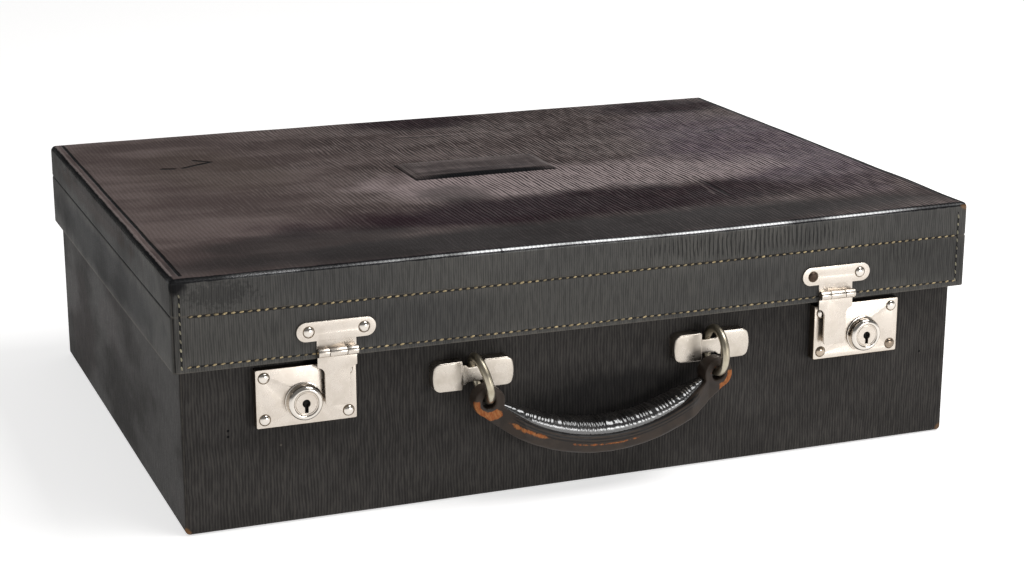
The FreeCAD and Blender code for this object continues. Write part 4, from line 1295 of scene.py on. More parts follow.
@dataclass
class LidLeather:
    """Top leather turned down over the edges, and the wall leather below it."""

    shop: Shop
    seam: float = 119.2
    seam_lines: Sequence[float] = (0.0, 0.35, 0.7, 1.05, 1.4)
    lip_lines: Sequence[float] = (0.4, 0.9)
    radius: float = 3.2
    wave: float = 0.35
    sag: float = 0.9
    sag_at: tuple[float, float] = (70.0, -171.5)
    bow: float = 0.12
    lip: float = 0.5
    lip_at: tuple[float, float] = (95.0, 90.0)
    draw: float = 0.4
    plate_at: float = 14.0
    plate_half: tuple[float, float] = (45.0, 22.0)

    def settle_top(self, spot: Vector, out: Vector) -> Vector:
        """Waves of the top away from the name plate, the sag of the front edge and the groove of the seam.

        Args:
            spot: a point of the skin.
            out: the way out of it.

        Returns:
            The moved point.
        """
        rolling = noise.noise(Vector((spot.x * 9.0, spot.y * 22.0, 3.1))) + 0.5 * noise.noise(
            Vector((spot.x * 24.0, spot.y * 40.0, 8.7)))
        wide, deep = self.plate_half
        beside = max(abs(spot.x) - wide * MM, abs(spot.y - self.plate_at * MM) - deep * MM)
        plate = 1.0 - float(smooth(np.array(beside), 0.03, 0.0))
        moved = spot + Vector((0, 0, 1)) * rolling * self.wave * MM * max(0.0, out.z) * plate
        along, front = ((part - at * MM) / fade for part, at, fade in zip(spot, self.sag_at, (0.12, 0.04)))
        raised = min(1.0, max(0.0, (spot.z - self.seam * MM) / 0.015))
        moved.z -= self.sag * MM * math.exp(-front ** 2) * math.exp(-along ** 2) * raised
        return self.groove(moved, out)

    def groove(self, spot: Vector, out: Vector) -> Vector:
        """Draw a wall point in where the seam runs."""
        level = abs(spot.z - self.seam * MM) / MM
        return spot - out * self.draw * MM * max(0.0, 1.0 - level) * (1.0 - max(0.0, out.z))

    def settle_wall(self, spot: Vector, out: Vector) -> Vector:
        """A slightly bowed wall with an uneven lower lip.

        Args:
            spot: a point of the skin.
            out: the way out of it.

        Returns:
            The moved point.
        """
        bow = noise.noise(Vector((spot.x * 14.0, spot.y * 14.0, spot.z * 30.0)))
        moved = spot + out * (self.bow * bow) * MM
        along, up = self.lip_at
        lip = max(0.0, 1.0 - (spot.z - up * MM) / 0.012)
        moved.z -= self.lip * MM * lip * max(0.0, -out.y) * math.exp(-((spot.x - along * MM) / 0.11) ** 2)
        return self.groove(moved, out)

    def build(self) -> None:
        """Make both skins and dress them, the hood with wall leather on its turned-down sides."""
        low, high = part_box("lid_wall_cover")
        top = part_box("lid_top_cover")[1].z
        seam, radius = self.seam * MM, self.radius * MM
        hood = LeatherBox("lid_top_leather", Vector((low.x, low.y, seam)), Vector((high.x, high.y, top)), radius,
                          Cap.TOP, 5 * MM, self.settle_top, (), [seam + step * MM for step in self.seam_lines]).build()
        dress(hood, self.shop.lid_top, self.shop.lid_wall)
        for face in hood.data.polygons:
            face.material_index = 0 if abs(face.normal.z) > 0.6 else 1
        settle(hood, "lid", "leather_top", "lid_top_cover")
        lines = [seam - step * MM for step in self.seam_lines] + [low.z + step * MM for step in self.lip_lines]
        band = LeatherBox("lid_wall_leather", low, Vector((high.x, high.y, seam)), radius, None, 4 * MM,
                          self.settle_wall, (), lines).build()
        dress(band, self.shop.lid_wall)
        settle(band, "lid", "leather_wall", "lid_wall_cover")


@dataclass
class BaseLeather:
    """Leather round the base and under its bottom."""

    shop: Shop
    radius: float = 2.6
    wave: float = 0.15

    def settle_wall(self, spot: Vector, out: Vector) -> Vector:
        """Slight waves of the walls."""
        wave = noise.noise(Vector((spot.x * 12.0, spot.y * 12.0, spot.z * 22.0 + 4.0)))
        return spot + out * (self.wave * wave * MM) * (1.0 - abs(out.z))

    def build(self) -> None:
        """Make the skin and dress it."""
        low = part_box("base_bottom_cover")[0]
        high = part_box("base_cover")[1]
        back_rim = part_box("base_back_board")[1].z
        side_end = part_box("base_left_board")[1].y

        def cut_back(spot: Vector) -> bool:
            """Whether a face lies where the lid's back wall stands."""
            return spot.z > back_rim and spot.y > side_end
        piece = LeatherBox("base_leather", low, high, self.radius * MM, Cap.BOTTOM, 5 * MM, self.settle_wall,
                           (side_end,), (back_rim,), cut_back).build()
        dress(piece, self.shop.base)
        settle(piece, "base", "leather_wall", "base_cover", "base_bottom_cover")


@dataclass
class NamePlate:
    """Raised plate of leather on the lid, left bare."""

    shop: Shop
    bevel: float = 4.2
    rise: float = 1.55
    sunk: float = 1.0
    grain_start: float = 0.4

    def build(self) -> None:
        """Make the plate as a low cushion with sloping sides and dress it."""
        low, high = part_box("name_plate")
        build = bmesh.new()
        uv = build.loops.layers.uv.new("grain")
        bevel = self.bevel * MM
        xs = edge_lines(low.x, high.x, bevel, 3 * MM)
        ys = edge_lines(low.y, high.y, bevel, 3 * MM)
        rows = []
        for x in xs:
            row = []
            for y in ys:
                lift = min(1.0, min(x - low.x, high.x - x, y - low.y, high.y - y) / bevel) ** 0.85
                wave = 0.08 * noise.noise(Vector((x * 60, y * 60, 1.7)))
                row.append(build.verts.new((x, y, low.z + (self.rise + wave) * lift * MM)))
            rows.append(row)
        for here, there in zip(rows, rows[1:]):
            for b in range(len(ys) - 1):
                build.faces.new((here[b], there[b], there[b + 1], here[b + 1]))
        brow = rows[0] + [row[-1] for row in rows[1:-1]] + rows[-1][::-1] + [row[0] for row in rows[-2:0:-1]]
        foot = [build.verts.new((vert.co.x, vert.co.y, low.z - self.sunk * MM)) for vert in brow]
        for a in range(len(brow)):
            build.faces.new((brow[a - 1], brow[a], foot[a], foot[a - 1]))
        build.faces.new(foot)
        for face in build.faces:
            for loop in face.loops:
                loop[uv].uv = (loop.vert.co.x, loop.vert.co.y + self.grain_start)
        name = "name_plate_leather"
        piece = publish(name, finish_mesh(build, name, 60.0, True), self.shop.name_plate)
        settle(piece, "lid", "leather_top", "name_plate")


class NodeMaker:
    """Builds Geometry Nodes trees with named inputs and runs them on a mesh."""

    def __init__(self, name: str, ins: Mapping[str, tuple]) -> None:
        """Start a tree.

        Args:
            name: the tree's name.
            ins: socket type and starting value of each input.
        """
        self.tree = bpy.data.node_groups.new(name, "GeometryNodeTree")
        self.tree.interface.new_socket("Geometry", in_out="INPUT", socket_type="NodeSocketGeometry")
        for label, (kind, start) in ins.items():
            socket = self.tree.interface.new_socket(label, in_out="INPUT", socket_type=kind)
            if start is not None:
                socket.default_value = start
        self.tree.interface.new_socket("Geometry", in_out="OUTPUT", socket_type="NodeSocketGeometry")
        self.wiring = Wiring(self.tree)
        self.given = self.wiring.node("NodeGroupInput").outputs

    def store(self, geometry: NodeSocket, name: str, value: Term, domain: str = "POINT") -> NodeSocket:
        """Give a shape an attribute, on its points or on its instances."""
        ins = {"Geometry": geometry, "Name": name, "Value": value}
        return self.wiring.out("GeometryNodeStoreNamedAttribute", ins, data_type="FLOAT", domain=domain)

    def sized(self, geometry: NodeSocket, size: NodeSocket) -> NodeSocket:
        """A shape with its size multiplied along each axis."""
        return self.wiring.out("GeometryNodeTransform", {"Geometry": geometry, "Scale": size})

    def joined(self, *shapes: NodeSocket) -> NodeSocket:
        """Several shapes as one.

        Args:
            shapes: the shapes, in order.

        Returns:
            The joined shape.
        """
        both = self.wiring.node("GeometryNodeJoinGeometry")
        for shape in shapes:
            self.tree.links.new(shape, both.inputs[0])
        return both.outputs[0]

    def close(self, geometry: NodeSocket, main: NodeSocket, other: NodeSocket, flag: str) -> None:
        """Make the instances real, give them their two finishes and lead them out of the tree.

        Args:
            geometry: the instances.
            main: finish of everything.
            other: finish of what the flag marks.
            flag: name of the marking attribute.
        """
        w = self.wiring
        made = w.out("GeometryNodeRealizeInstances", {0: geometry})
        marked = w.node("GeometryNodeInputNamedAttribute", {"Name": flag}, data_type="FLOAT").outputs["Attribute"]
        chosen = w.math("GREATER_THAN", marked, 0.5)
        made = w.out("GeometryNodeSetMaterial", {"Geometry": made, "Material": main})
        made = w.out("GeometryNodeSetMaterial", {"Geometry": made, "Selection": chosen, "Material": other})
        w.node("NodeGroupOutput", {0: made})

    def run(self, name: str, points: Sequence[Vector], runs: Sequence[tuple[int, int]], **values: object) -> Object:
        """Run the tree on loose points.

        Args:
            name: the new piece's name.
            points: the points.
            runs: pairs of points that are joined.
            values: the inputs by name, with spaces written as underscores.

        Returns:
            The piece as a plain mesh.
        """
        mesh = bpy.data.meshes.new(name)
        mesh.from_pydata([tuple(point) for point in points], list(runs), [])
        piece = publish(name, mesh)
        maker = piece.modifiers.new("maker", "NODES")
        maker.node_group = self.tree
        for item in self.tree.interface.items_tree:
            key = item.name.replace(" ", "_")
            if item.in_out == "INPUT" and key in values:
                maker[item.identifier] = values[key]
        shade(evaluated(piece))
        return piece


@dataclass
class Stitching:
    """Rows of waxed thread on the front of the lid."""

    shop: Shop
    pitch: float = 4.25
    stitch: Point = (2.6, 1.0, 1.0)
    hole: Point = (1.3, 0.9, 0.3)
    slant: float = 0.2

    def tree(self) -> NodeMaker:
        """Stitches and needle holes along a run.

        Returns:
            The maker with named inputs.
        """
        maker = NodeMaker("stitch_row", {
            "Pitch": (FLOAT, self.pitch * MM), "Stitch Size": (VECTOR, (1, 1, 1)), "Hole Size": (VECTOR, (1, 1, 1)),
            "Slant": (FLOAT, self.slant), "Seed": ("NodeSocketInt", 7), "Thread": ("NodeSocketMaterial", None),
            "Hole": ("NodeSocketMaterial", None)})
        w, given = maker.wiring, maker.given
        curve = w.out("GeometryNodeMeshToCurve", {0: given["Geometry"]})
        points = w.node("GeometryNodeCurveToPoints", {"Curve": curve, "Length": given["Pitch"]}, mode="LENGTH").outputs
        face = w.out("FunctionNodeAlignRotationToVector", {"Vector": (0.0, -1.0, 0.0)}, axis="Z")
        turn = w.out("FunctionNodeAlignRotationToVector", {"Rotation": face, "Vector": points["Tangent"]},
                     axis="X", pivot_axis="Z")
        lean = w.node("FunctionNodeRandomValue", {2: 0.3, 3: 1.6, "Seed": given["Seed"]}, data_type="FLOAT").outputs[1]
        euler = w.out("ShaderNodeCombineXYZ", {2: w.product(lean, given["Slant"])})
        spin = w.out("FunctionNodeEulerToRotation", {0: euler})
        turn = w.out("FunctionNodeRotateRotation", {0: turn, 1: spin}, rotation_space="LOCAL")
        ball = w.out("GeometryNodeMeshUVSphere", {"Segments": 8, "Rings": 5, "Radius": 0.5})
        vary = w.out("FunctionNodeRandomValue", {0: (0.75, 0.8, 0.5), 1: (1.1, 1.15, 1.1), "Seed": given["Seed"]},
                     data_type="FLOAT_VECTOR")
        thread = {"Points": points["Points"], "Instance": maker.sized(ball, given["Stitch Size"]), "Rotation": turn,
                  "Scale": vary}
        sewn = w.out("GeometryNodeInstanceOnPoints", thread)
        tone = w.node("FunctionNodeRandomValue", {2: 0.0, 3: 1.0, "Seed": w.math("ADD", given["Seed"], 5)},
                      data_type="FLOAT").outputs[1]
        sewn = maker.store(sewn, "tone", tone, "INSTANCE")
        shift = w.scaled(points["Tangent"], w.product(given["Pitch"], 0.5))
        between = w.out("GeometryNodeSetPosition", {"Geometry": points["Points"], "Offset": shift})
        # The needle holes are flat near-black discs: painted shade in the holes.
        dent = maker.store(maker.sized(ball, given["Hole Size"]), "pricked", 1.0)
        pricked = w.out("GeometryNodeInstanceOnPoints", {"Points": between, "Instance": dent, "Rotation": turn})
        maker.close(maker.joined(sewn, pricked), given["Thread"], given["Hole"], "pricked")
        return maker

    def build(self) -> None:
        """Sew the four rows of the lid front."""
        face = box_mm("lid_wall_cover")[0].y
        deep, sunk, shallow = face + 0.12, face + 0.06, face - 0.06
        level = [[(-218.5, deep, 118.9), (-123, deep, 118.4), (78, deep, 118.8), (219, deep, 119.5)],
                 [(-220.3, shallow, 92.9), (-60, shallow, 92.4), (110, shallow, 92.3), (221, shallow, 93.0)]]
        upright = [[(-224.2, sunk, 92.8), (-224.2, sunk, 130.0)], [(222.0, face, 93.5), (222.0, face, 130.5)]]
        maker = self.tree()
        for name, rows, thread, seed in (("lid_level_stitches", level, self.shop.thread, 7),
                                         ("lid_upright_stitches", upright, self.shop.old_thread, 11)):
            points: list[Vector] = []
            runs: list[tuple[int, int]] = []
            for row in rows:
                start = len(points)
                points += [mm(*spot) for spot in row]
                runs += [(start + i, start + i + 1) for i in range(len(row) - 1)]
            piece = maker.run(name, points, runs, Pitch=self.pitch * MM, Stitch_Size=mm(*self.stitch),
                              Hole_Size=mm(*self.hole), Slant=self.slant, Seed=seed, Thread=thread,
                              Hole=self.shop.hole)
            settle(piece, "lid", "leather_wall")


@dataclass
class Pins:
    """Domed pin heads with a ring of grime round each."""

    shop: Shop
    head: float = 5.5
    rise: float = 1.4
    ring: float = 6.4
    ring_rise: float = 0.25
    rivet_shift: float = 11.0

    def tree(self) -> NodeMaker:
        """A dome and a grime ring on every point.

        Returns:
            The maker with named inputs.
        """
        maker = NodeMaker("domed_pins", {
            "Head Size": (VECTOR, (1, 1, 1)), "Ring Size": (VECTOR, (1, 1, 1)), "Seed": ("NodeSocketInt", 3),
            "Metal": ("NodeSocketMaterial", None), "Grime": ("NodeSocketMaterial", None)})
        w, given = maker.wiring, maker.given
        ball = w.out("GeometryNodeMeshUVSphere", {"Segments": 28, "Rings": 16, "Radius": 0.5})
        ring = maker.store(maker.sized(ball, given["Ring Size"]), "grimy", 1.0)
        tilt = w.out("FunctionNodeRandomValue", {0: (-0.07, -3.1, -0.07), 1: (0.07, 3.1, 0.07), "Seed": given["Seed"]},
                     data_type="FLOAT_VECTOR")
        both = maker.joined(maker.sized(ball, given["Head Size"]), ring)
        placed = w.out("GeometryNodeInstanceOnPoints", {"Points": given["Geometry"], "Instance": both,
                                                        "Rotation": tilt})
        maker.close(placed, given["Metal"], given["Grime"], "grimy")
        return maker

    def build(self) -> None:
        """Set the pins of the locks, the hasps and the back hinges."""
        maker, near, shop = self.tree(), self.head / 2, self.shop
        lock_face = box_mm("left_lock_plate")[0].y
        hasp_face = box_mm("left_hasp_pins")[0].y + self.rise
        hinge_face = box_mm("hinge_base_rivets")[1].y - self.rise
        spots: dict[str, list[Vector]] = {"lock": [], "hasp": [], "base": [], "lid": []}
        for side in Side:
            low, high = box_mm(f"{side.value}_lock_pins")
            spots["lock"] += [mm(x, lock_face, z) for x in (low.x + near, high.x - near)
                              for z in (low.z + near, high.z - near)]
            low, high = box_mm(f"{side.value}_hasp_pins")
            spots["hasp"] += [mm(x, hasp_face, (low.z + high.z) / 2) for x in (low.x + near, high.x - near)]
            low, high = box_mm(f"{side.value}_hinge_base_leaf")
            middle = (low.x + high.x) / 2
            for part in ("base", "lid"):
                low, high = box_mm(f"hinge_{part}_rivets")
                spots[part] += [mm(middle + shift, hinge_face, (low.z + high.z) / 2)
                                for shift in (-self.rivet_shift, self.rivet_shift)]
        bare = [spots["hasp"].pop(2)]
        aged = [spots["lock"].pop(6), spots["lock"].pop(4)]
        jobs = (
            ("lock_pin_heads", spots["lock"], "base", "nickel", shop.bright, ("left_lock_pins", "right_lock_pins")),
            ("aged_lock_pin_heads", aged, "base", "nickel", shop.aged, ()),
            ("hasp_pin_heads", spots["hasp"], "lid", "nickel", shop.bright, ("left_hasp_pins", "right_hasp_pins")),
            ("bare_hasp_pin_head", bare, "lid", "nickel", shop.rust, ()),
            ("hinge_base_rivet_heads", spots["base"], "base", "steel", shop.steel, ("hinge_base_rivets",)),
            ("hinge_lid_rivet_heads", spots["lid"], "lid", "steel", shop.steel, ("hinge_lid_rivets",)),
        )
        for name, places, body, slot, metal, nodes in jobs:
            piece = maker.run(name, places, (), Head_Size=mm(self.head, 2 * self.rise, self.head),
                              Ring_Size=mm(self.ring, 2 * self.ring_rise, self.ring), Seed=3, Metal=metal,
                              Grime=shop.grime)
            settle(piece, body, slot, *nodes)


BOSS_PROFILE = ((0, 2.7), (6.4, 2.7), (6.5, 2.8), (6.5, 4.95), (6.6, 5.3), (6.85, 5.52), (7.2, 5.6), (7.65, 5.52),
                (8.2, 5.25), (8.7, 4.8), (9.1, 4.2), (9.35, 3.5), (9.5, 2.7), (9.55, 1.6), (9.6, 0.95), (9.75, 0.75),
                (9.95, 0.7), (10.0, 0.5), (10.0, 0.2), (9.85, 0.0), (0, 0.0))
DISC_PROFILE = ((6.45, 2.9), (6.45, 5.02), (6.33, 5.18), (5.9, 5.2), (5.72, 5.02), (5.54, 5.2), (0, 5.2), (0, 5.08),
                (0, 2.9), (6.45, 2.9))


@dataclass
class Lock:
    """Face plate, dark case, key boss and keyhole disc of one lock."""

    shop: Shop
    side: Side
    eye: float = 2.1
    slit: float = 0.95
    drop: float = 5.0
    lip: float = 0.14
    shaded_well: float = 6.42
    well_floor: tuple[float, float] = (1.0, 2.9)

    def keyhole(self, angle: float) -> float:
        """Radius of the keyhole's outline in a direction.

        Args:
            angle: the direction, in radians.

        Returns:
            The radius in millimetres.
        """
        if math.sin(angle) >= 0:
            return self.eye
        side = self.slit / max(1e-6, abs(math.cos(angle)))
        return max(self.eye, min(side, self.drop / abs(math.sin(angle))))

    def outline(self, angle: float, index: int) -> Optional[float]:
        """Radius of the disc's points that follow the keyhole, and None for the others."""
        return {6: self.keyhole(angle) + self.lip, 7: self.keyhole(angle), 8: self.keyhole(angle)}.get(index)

    def build(self) -> None:
        """Make the lock's pieces and dress them."""
        name, shop = self.side.value, self.shop
        plate, case = f"{name}_lock_plate", f"{name}_lock_case"
        settle(eased_copy(plate, 0.28, shop.nickel, shop.brass), "base", "nickel", plate)
        settle(eased_copy(case, 0.4, shop.japan), "base", "lock_body", case)
        low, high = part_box(f"{name}_lock_boss")
        centre = Vector(((low.x + high.x) / 2, high.y, (low.z + high.z) / 2))
        label = f"{name}_boss_turned"
        boss = publish(label, lathe(BOSS_PROFILE, centre, 96, label), shop.bright, shop.shaded_well)
        # The well floor behind the keyhole takes the near-black finish: painted shade in the keyhole.
        front, back = (centre.y - height * MM for height in self.well_floor)
        for face in boss.data.polygons:
            near = math.hypot(face.center.x - centre.x, face.center.z - centre.z) < self.shaded_well * MM
            face.material_index = 1 if near and back < face.center.y < front else 0
        settle(boss, f"{name}_lock_slide", "nickel", f"{name}_lock_boss")
        label = f"{name}_keyhole_disc_turned"
        disc = publish(label, lathe(DISC_PROFILE, centre, 180, label, self.outline), shop.nickel)
        settle(disc, f"{name}_lock_slide", "nickel", f"{name}_keyhole_disc")
        for node in (f"{name}_lock_slider", f"{name}_lock_spring"):
            dress_solid(node, shop.steel)


@dataclass
class Hasp:
    """T-shaped plate, flap, catch and hinge pin of one hasp."""

    shop: Shop
    side: Side
    bevel: float = 0.3

    def build(self) -> None:
        """Make the hasp's pieces and dress them."""
        name = self.side.value
        for node, body in ((f"{name}_hasp_plate", "lid"), (f"{name}_hasp_flap", f"{name}_hasp")):
            settle(eased_copy(node, self.bevel, self.shop.nickel), body, "nickel", node)
        for node in (f"{name}_hasp_catch", f"{name}_hasp_hinge_pin"):
            dress_solid(node, self.shop.nickel)


@dataclass
class Bracket:
    """Handle bracket with two pads and a waist, and the wire ring behind the waist."""

    shop: Shop
    side: Side
    tilt: float
    reach: float = 12.0
    wire: float = 2.3
    waist: float = 6.0
    bar: float = 4.0
    flare: float = 1.5
    sink: float = 1.0
    bar_thick: float = 1.25
    ease: float = 0.9
    corner: float = 3.2
    dome: float = 0.35
    pad_middle: float = 14.0
    pad_half: float = 8.8
    bulge: float = 0.25
    span: float = 21.5

    def section(self, x: float, half: float, tall: float, deep: float, ring: float) -> list[tuple[float, float]]:
        """One cross-section of the bracket.

        Args:
            x: distance from the bracket's middle.
            half: half its length.
            tall: half its height.
            deep: how far it stands out.
            ring: place of the ring along it.

        Returns:
            Height and distance from the wall of each point round the section.
        """
        away = abs(x)
        step = float(smooth(np.array(away), self.waist - 0.25, self.waist + 0.65))
        flared = self.bar + self.flare * float(smooth(np.array(abs(x - ring)), 3.6, 6.2))
        height = flared + (tall - flared) * step
        dome = self.dome * (1.0 - ((away - self.pad_middle) / self.pad_half) ** 2) * step
        front = deep - self.sink + (self.sink - self.dome) * step + dome
        back = (deep - self.sink - self.bar_thick) * (1.0 - step)
        left = half - away
        if left < self.ease:
            front -= self.ease - math.sqrt(max(0.0, self.ease ** 2 - (self.ease - left) ** 2))
        if left < self.corner:
            height -= self.corner - math.sqrt(max(0.0, self.corner ** 2 - (self.corner - left) ** 2))
        soft = min(self.ease, (front - back) * 0.45)
        turns = [math.radians(turn) for turn in range(0, 91, 15)]
        points = [(height - soft + soft * math.cos(a), front - soft + soft * math.sin(a)) for a in turns]
        points += [(height * share, front + self.bulge * (1.0 - share ** 2) * step) for share in (0.7, 0.35, 0.0)]
        mirror = [(-z, y) for z, y in reversed(points[:-1])]
        return [(height, back)] + points + mirror + [(-height, back)]

    def pads(self, name: str, ring: float) -> Mesh:
        """Loft the bracket along its length.

        Args:
            name: the mesh's name.
            ring: place of the ring along it, in millimetres.

        Returns:
            The closed mesh.
        """
        low, high = box_mm(f"{self.side.value}_handle_bracket")
        wall = box_mm("base_cover")[0].y
        half, tall, deep = (high.x - low.x) / 2, (high.z - low.z) / 2, wall - low.y
        cx, cz = (low.x + high.x) / 2, (low.z + high.z) / 2
        ends = [half - self.ease * (1.0 - math.cos(math.radians(t))) for t in (0, 30, 50, 70, 90)]
        xs = [x for end in ends for x in (-end, end)] + list(np.linspace(-self.span, self.span, 130))
        build = bmesh.new()
        rows = []
        for x in sorted({round(x, 4) for x in xs}):
            row = []
            for z, y in self.section(x, half, tall, deep, ring):
                bow = math.sqrt(half ** 2 - z ** 2) / half
                row.append(build.verts.new(mm(cx + x * bow, wall - y, cz + z)))
            rows.append(row)
        loft(build, rows, ring=False, tube=True)
        return finish_mesh(build, name, 55.0, True)

    def ring(self, name: str, centre: Vector) -> Mesh:
        """The wire ring, leaning by the tilt.

        Args:
            name: the mesh's name.
            centre: the ring's centre, in metres.

        Returns:
            The closed mesh.
        """
        lean = Matrix.Rotation(-math.radians(self.tilt), 3, "Y")
        build = bmesh.new()
        steps, sides = 96, 20
        rows = []
        for step in range(steps):
            angle = math.tau * step / steps
            out = Vector((0, math.cos(angle), math.sin(angle)))
            row = []
            for part in range(sides):
                turn = math.tau * part / sides
                spot = out * (self.reach + self.wire * math.cos(turn)) + Vector((self.wire * math.sin(turn), 0, 0))
                row.append(build.verts.new(centre + lean @ spot * MM))
            rows.append(row)
        loft(build, rows, ring=True, tube=True)
        return finish_mesh(build, name, outwards=True)

    def build(self) -> None:
        """Make the bracket and the ring and dress them."""
        name = self.side.value
        low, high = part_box(f"{name}_handle_ring")
        middle = sum(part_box(f"{name}_handle_bracket"), Vector()) / 2
        label = f"{name}_bracket_pads"
        piece = publish(label, self.pads(label, ((low.x + high.x) / 2 - middle.x) / MM), self.shop.rubbed)
        settle(piece, "base", "nickel", f"{name}_handle_bracket")
        label = f"{name}_wire_ring"
        ring = publish(label, self.ring(label, (low + high) / 2), self.shop.dull)
        settle(ring, "handle", "dull_nickel", f"{name}_handle_ring")


def vertex_rows(mesh: Mesh, key: str) -> np.ndarray:
    """A vector of every vertex of a mesh.

    Args:
        mesh: the mesh.
        key: the vector's name.

    Returns:
        One row for each vertex.
    """
    flat = np.empty(len(mesh.vertices) * 3)
    mesh.vertices.foreach_get(key, flat)
    return flat.reshape(-1, 3)


@dataclass
class Handle:
    """Curved leather slab with a holed tab at each end, and its padded grip; angles are from its lowest point."""

    shop: Shop
    centre: Point = (1.6, -177.8, 127.34)
    bend: float = 98.04
    tall: float = 10.6
    half: float = 66.5
    hole_z: float = 58.8
    crown: float = 6.8
    reach: float = 40.0
    voxel: float = 0.6
    ridges: Sequence[float] = (3.7, 2.2)
    creases: Sequence[float] = (4.6, 2.95, 1.35)
    ridge_rise: float = 0.38
    rough: float = 0.18
    grip_half: float = 8.9
    wrinkle: float = 2.6
    fold_rise: float = 0.85

    def build(self) -> None:
        """Make the slab and the grip and dress them."""
        core = publish("handle_slab", finish_mesh(solid_copy("handle_core"), "handle_slab"))
        skin = core.modifiers.new("skin", "REMESH")
        skin.mode = "VOXEL"
        skin.voxel_size = self.voxel * MM
        soften = core.modifiers.new("soften", "SMOOTH")
        soften.factor = 0.5
        soften.iterations = 9
        mesh = evaluated(core)
        self.wear(mesh)
        shade(mesh)
        dress(core, self.shop.core)
        settle(core, "handle", "leather_handle", "handle_core")
        grip = publish("handle_grip_pad", self.grip_mesh(), self.shop.grip)
        settle(grip, "handle", "leather_handle", "handle_grip")

    def wear(self, mesh: Mesh) -> None:
        """Raise the seam ridges of the slab and mark its creases and where it is worn bare.

        Args:
            mesh: the slab's mesh.
        """
        co, out = vertex_rows(mesh, "co"), vertex_rows(mesh, "normal")
        cx, cy, cz = (value * MM for value in self.centre)
        radius = np.hypot(co[:, 0] - cx, co[:, 2] - cz) / MM - self.bend
        angle = np.degrees(np.arctan2(co[:, 0] - cx, cz - co[:, 2]))
        y = (co[:, 1] - cy) / MM
        front = smooth(-y, 5.0, 8.5)
        sewn = front * smooth(np.abs(angle), 37.0, 33.0)
        ridge = sum(np.exp(-((radius + level) / 0.55) ** 2) for level in self.ridges)
        crease = sum(np.exp(-((radius + level) / 0.45) ** 2) for level in self.creases) * sewn
        co += out * (self.ridge_rise * MM * ridge * sewn)[:, None]
        uneven = np.array([noise.noise(Vector(spot) * 160.0) for spot in co])
        co += out * (self.rough * MM * uneven)[:, None]
        worn = np.maximum(self.bare_tabs(co, y), self.bare_bow(radius, angle) * front)
        mesh.vertices.foreach_set("co", co.ravel())
        for label, values in (("worn", worn), ("crease", crease)):
            layer = mesh.attributes.new(label, "FLOAT", "POINT")
            layer.data.foreach_set("value", values.astype(np.float32))
        mesh.update()

    def bare_tabs(self, co: np.ndarray, y: np.ndarray) -> np.ndarray:
        """Where the tabs are worn bare round their holes.

        Args:
            co: the slab's points, in metres.
            y: their distance from its middle plane, in millimetres.

        Returns:
            1 where a point is bare.
        """
        worn = np.zeros(len(co))
        for sign, first, last, strength in ((-1, -200.0, -30.0, 1.0), (1, -100.0, 25.0, 0.95)):
            dx = co[:, 0] / MM - (self.centre[0] + sign * self.half)
            dz = co[:, 2] / MM - self.hole_z
            far = np.hypot(dx, dz)
            turn = np.degrees(np.arctan2(dz, dx))
            turn = np.where(turn > 90.0, turn - 360.0, turn) if sign < 0 else turn
            band = smooth(far, 4.9, 5.9) * smooth(far, 11.5, 9.5) * smooth(-y, 1.0, 3.5)
            sweep = smooth(turn, first, first + 25.0) * smooth(turn, last, last - 25.0)
            collar = np.exp(-((far - 4.6) / 0.6) ** 2) * smooth(np.abs(turn - 150.0), 60.0, 30.0)
            worn = np.maximum(worn, np.maximum(band * sweep * strength, 0.5 * collar))
        return worn

    @staticmethod
    def bare_bow(radius: np.ndarray, angle: np.ndarray) -> np.ndarray:
        """Where the bow is worn bare: a slanting streak on its left and a line along its middle.

        Args:
            radius: distance of each point from the bow's middle line, in millimetres.
            angle: its place along the bow, in degrees.

        Returns:
            1 where a point is bare.
        """
        slant = np.exp(-((radius + 0.4 + 0.09 * (angle + 28)) / 1.35) ** 2)
        streak = slant * smooth(angle, -39.0, -34.0) * smooth(angle, -19.0, -23.0) * 0.86
        line = np.exp(-((radius - 0.2) / 0.7) ** 2) * smooth(angle, -15.0, -11.0) * smooth(angle, 14.0, 9.0) * 0.66
        return np.maximum(streak, line)

    def grip_mesh(self) -> Mesh:
        """The padded strip on the inner curve, crowned, wrinkled across and thinning to both ends.

        Returns:
            The closed mesh with its crease attribute.
        """
        cx, cy, cz = self.centre
        base = self.bend - self.tall / 2 + 0.5
        steps, across = 300, 36
        build = bmesh.new()
        crease = build.verts.layers.float.new("crease")
        rows = []
        for step in range(steps + 1):
            share = 2.0 * step / steps - 1.0
            angle = math.radians(self.reach * share)
            taper = (1.0 - abs(share) ** 2.6) ** 0.62 if abs(share) < 1 else 0.0
            narrow = 4.6 * max(0.0, (abs(share) - 0.72) / 0.28)
            half = (self.grip_half - narrow) * max(0.3, taper ** 0.3)
            run = base * angle
            row = []
            for part in range(across):
                turn = math.tau * part / across
                side, lift = math.cos(turn), math.sin(turn)
                y = half * math.copysign(abs(side) ** 0.72, side)
                fold = self.fold(run, y)
                weight = (max(0.0, lift + 0.2) / 1.2) ** 0.5 * taper
                rise = self.crown * taper * (abs(lift) ** 0.8) if lift > 0 else -0.9 * abs(lift)
                r = base - 0.5 - rise - self.fold_rise * fold * weight
                vert = build.verts.new(mm(cx + r * math.sin(angle), cy + y, cz - r * math.cos(angle)))
                vert[crease] = max(0.0, min(1.0, -fold * 1.5 - 0.25)) * weight
                row.append(vert)
            rows.append(row)
        loft(build, rows, ring=False, tube=True)
        mesh = finish_mesh(build, "handle_grip_pad", 70.0, True)
        mesh.attributes.new("worn", "FLOAT", "POINT")
        return mesh

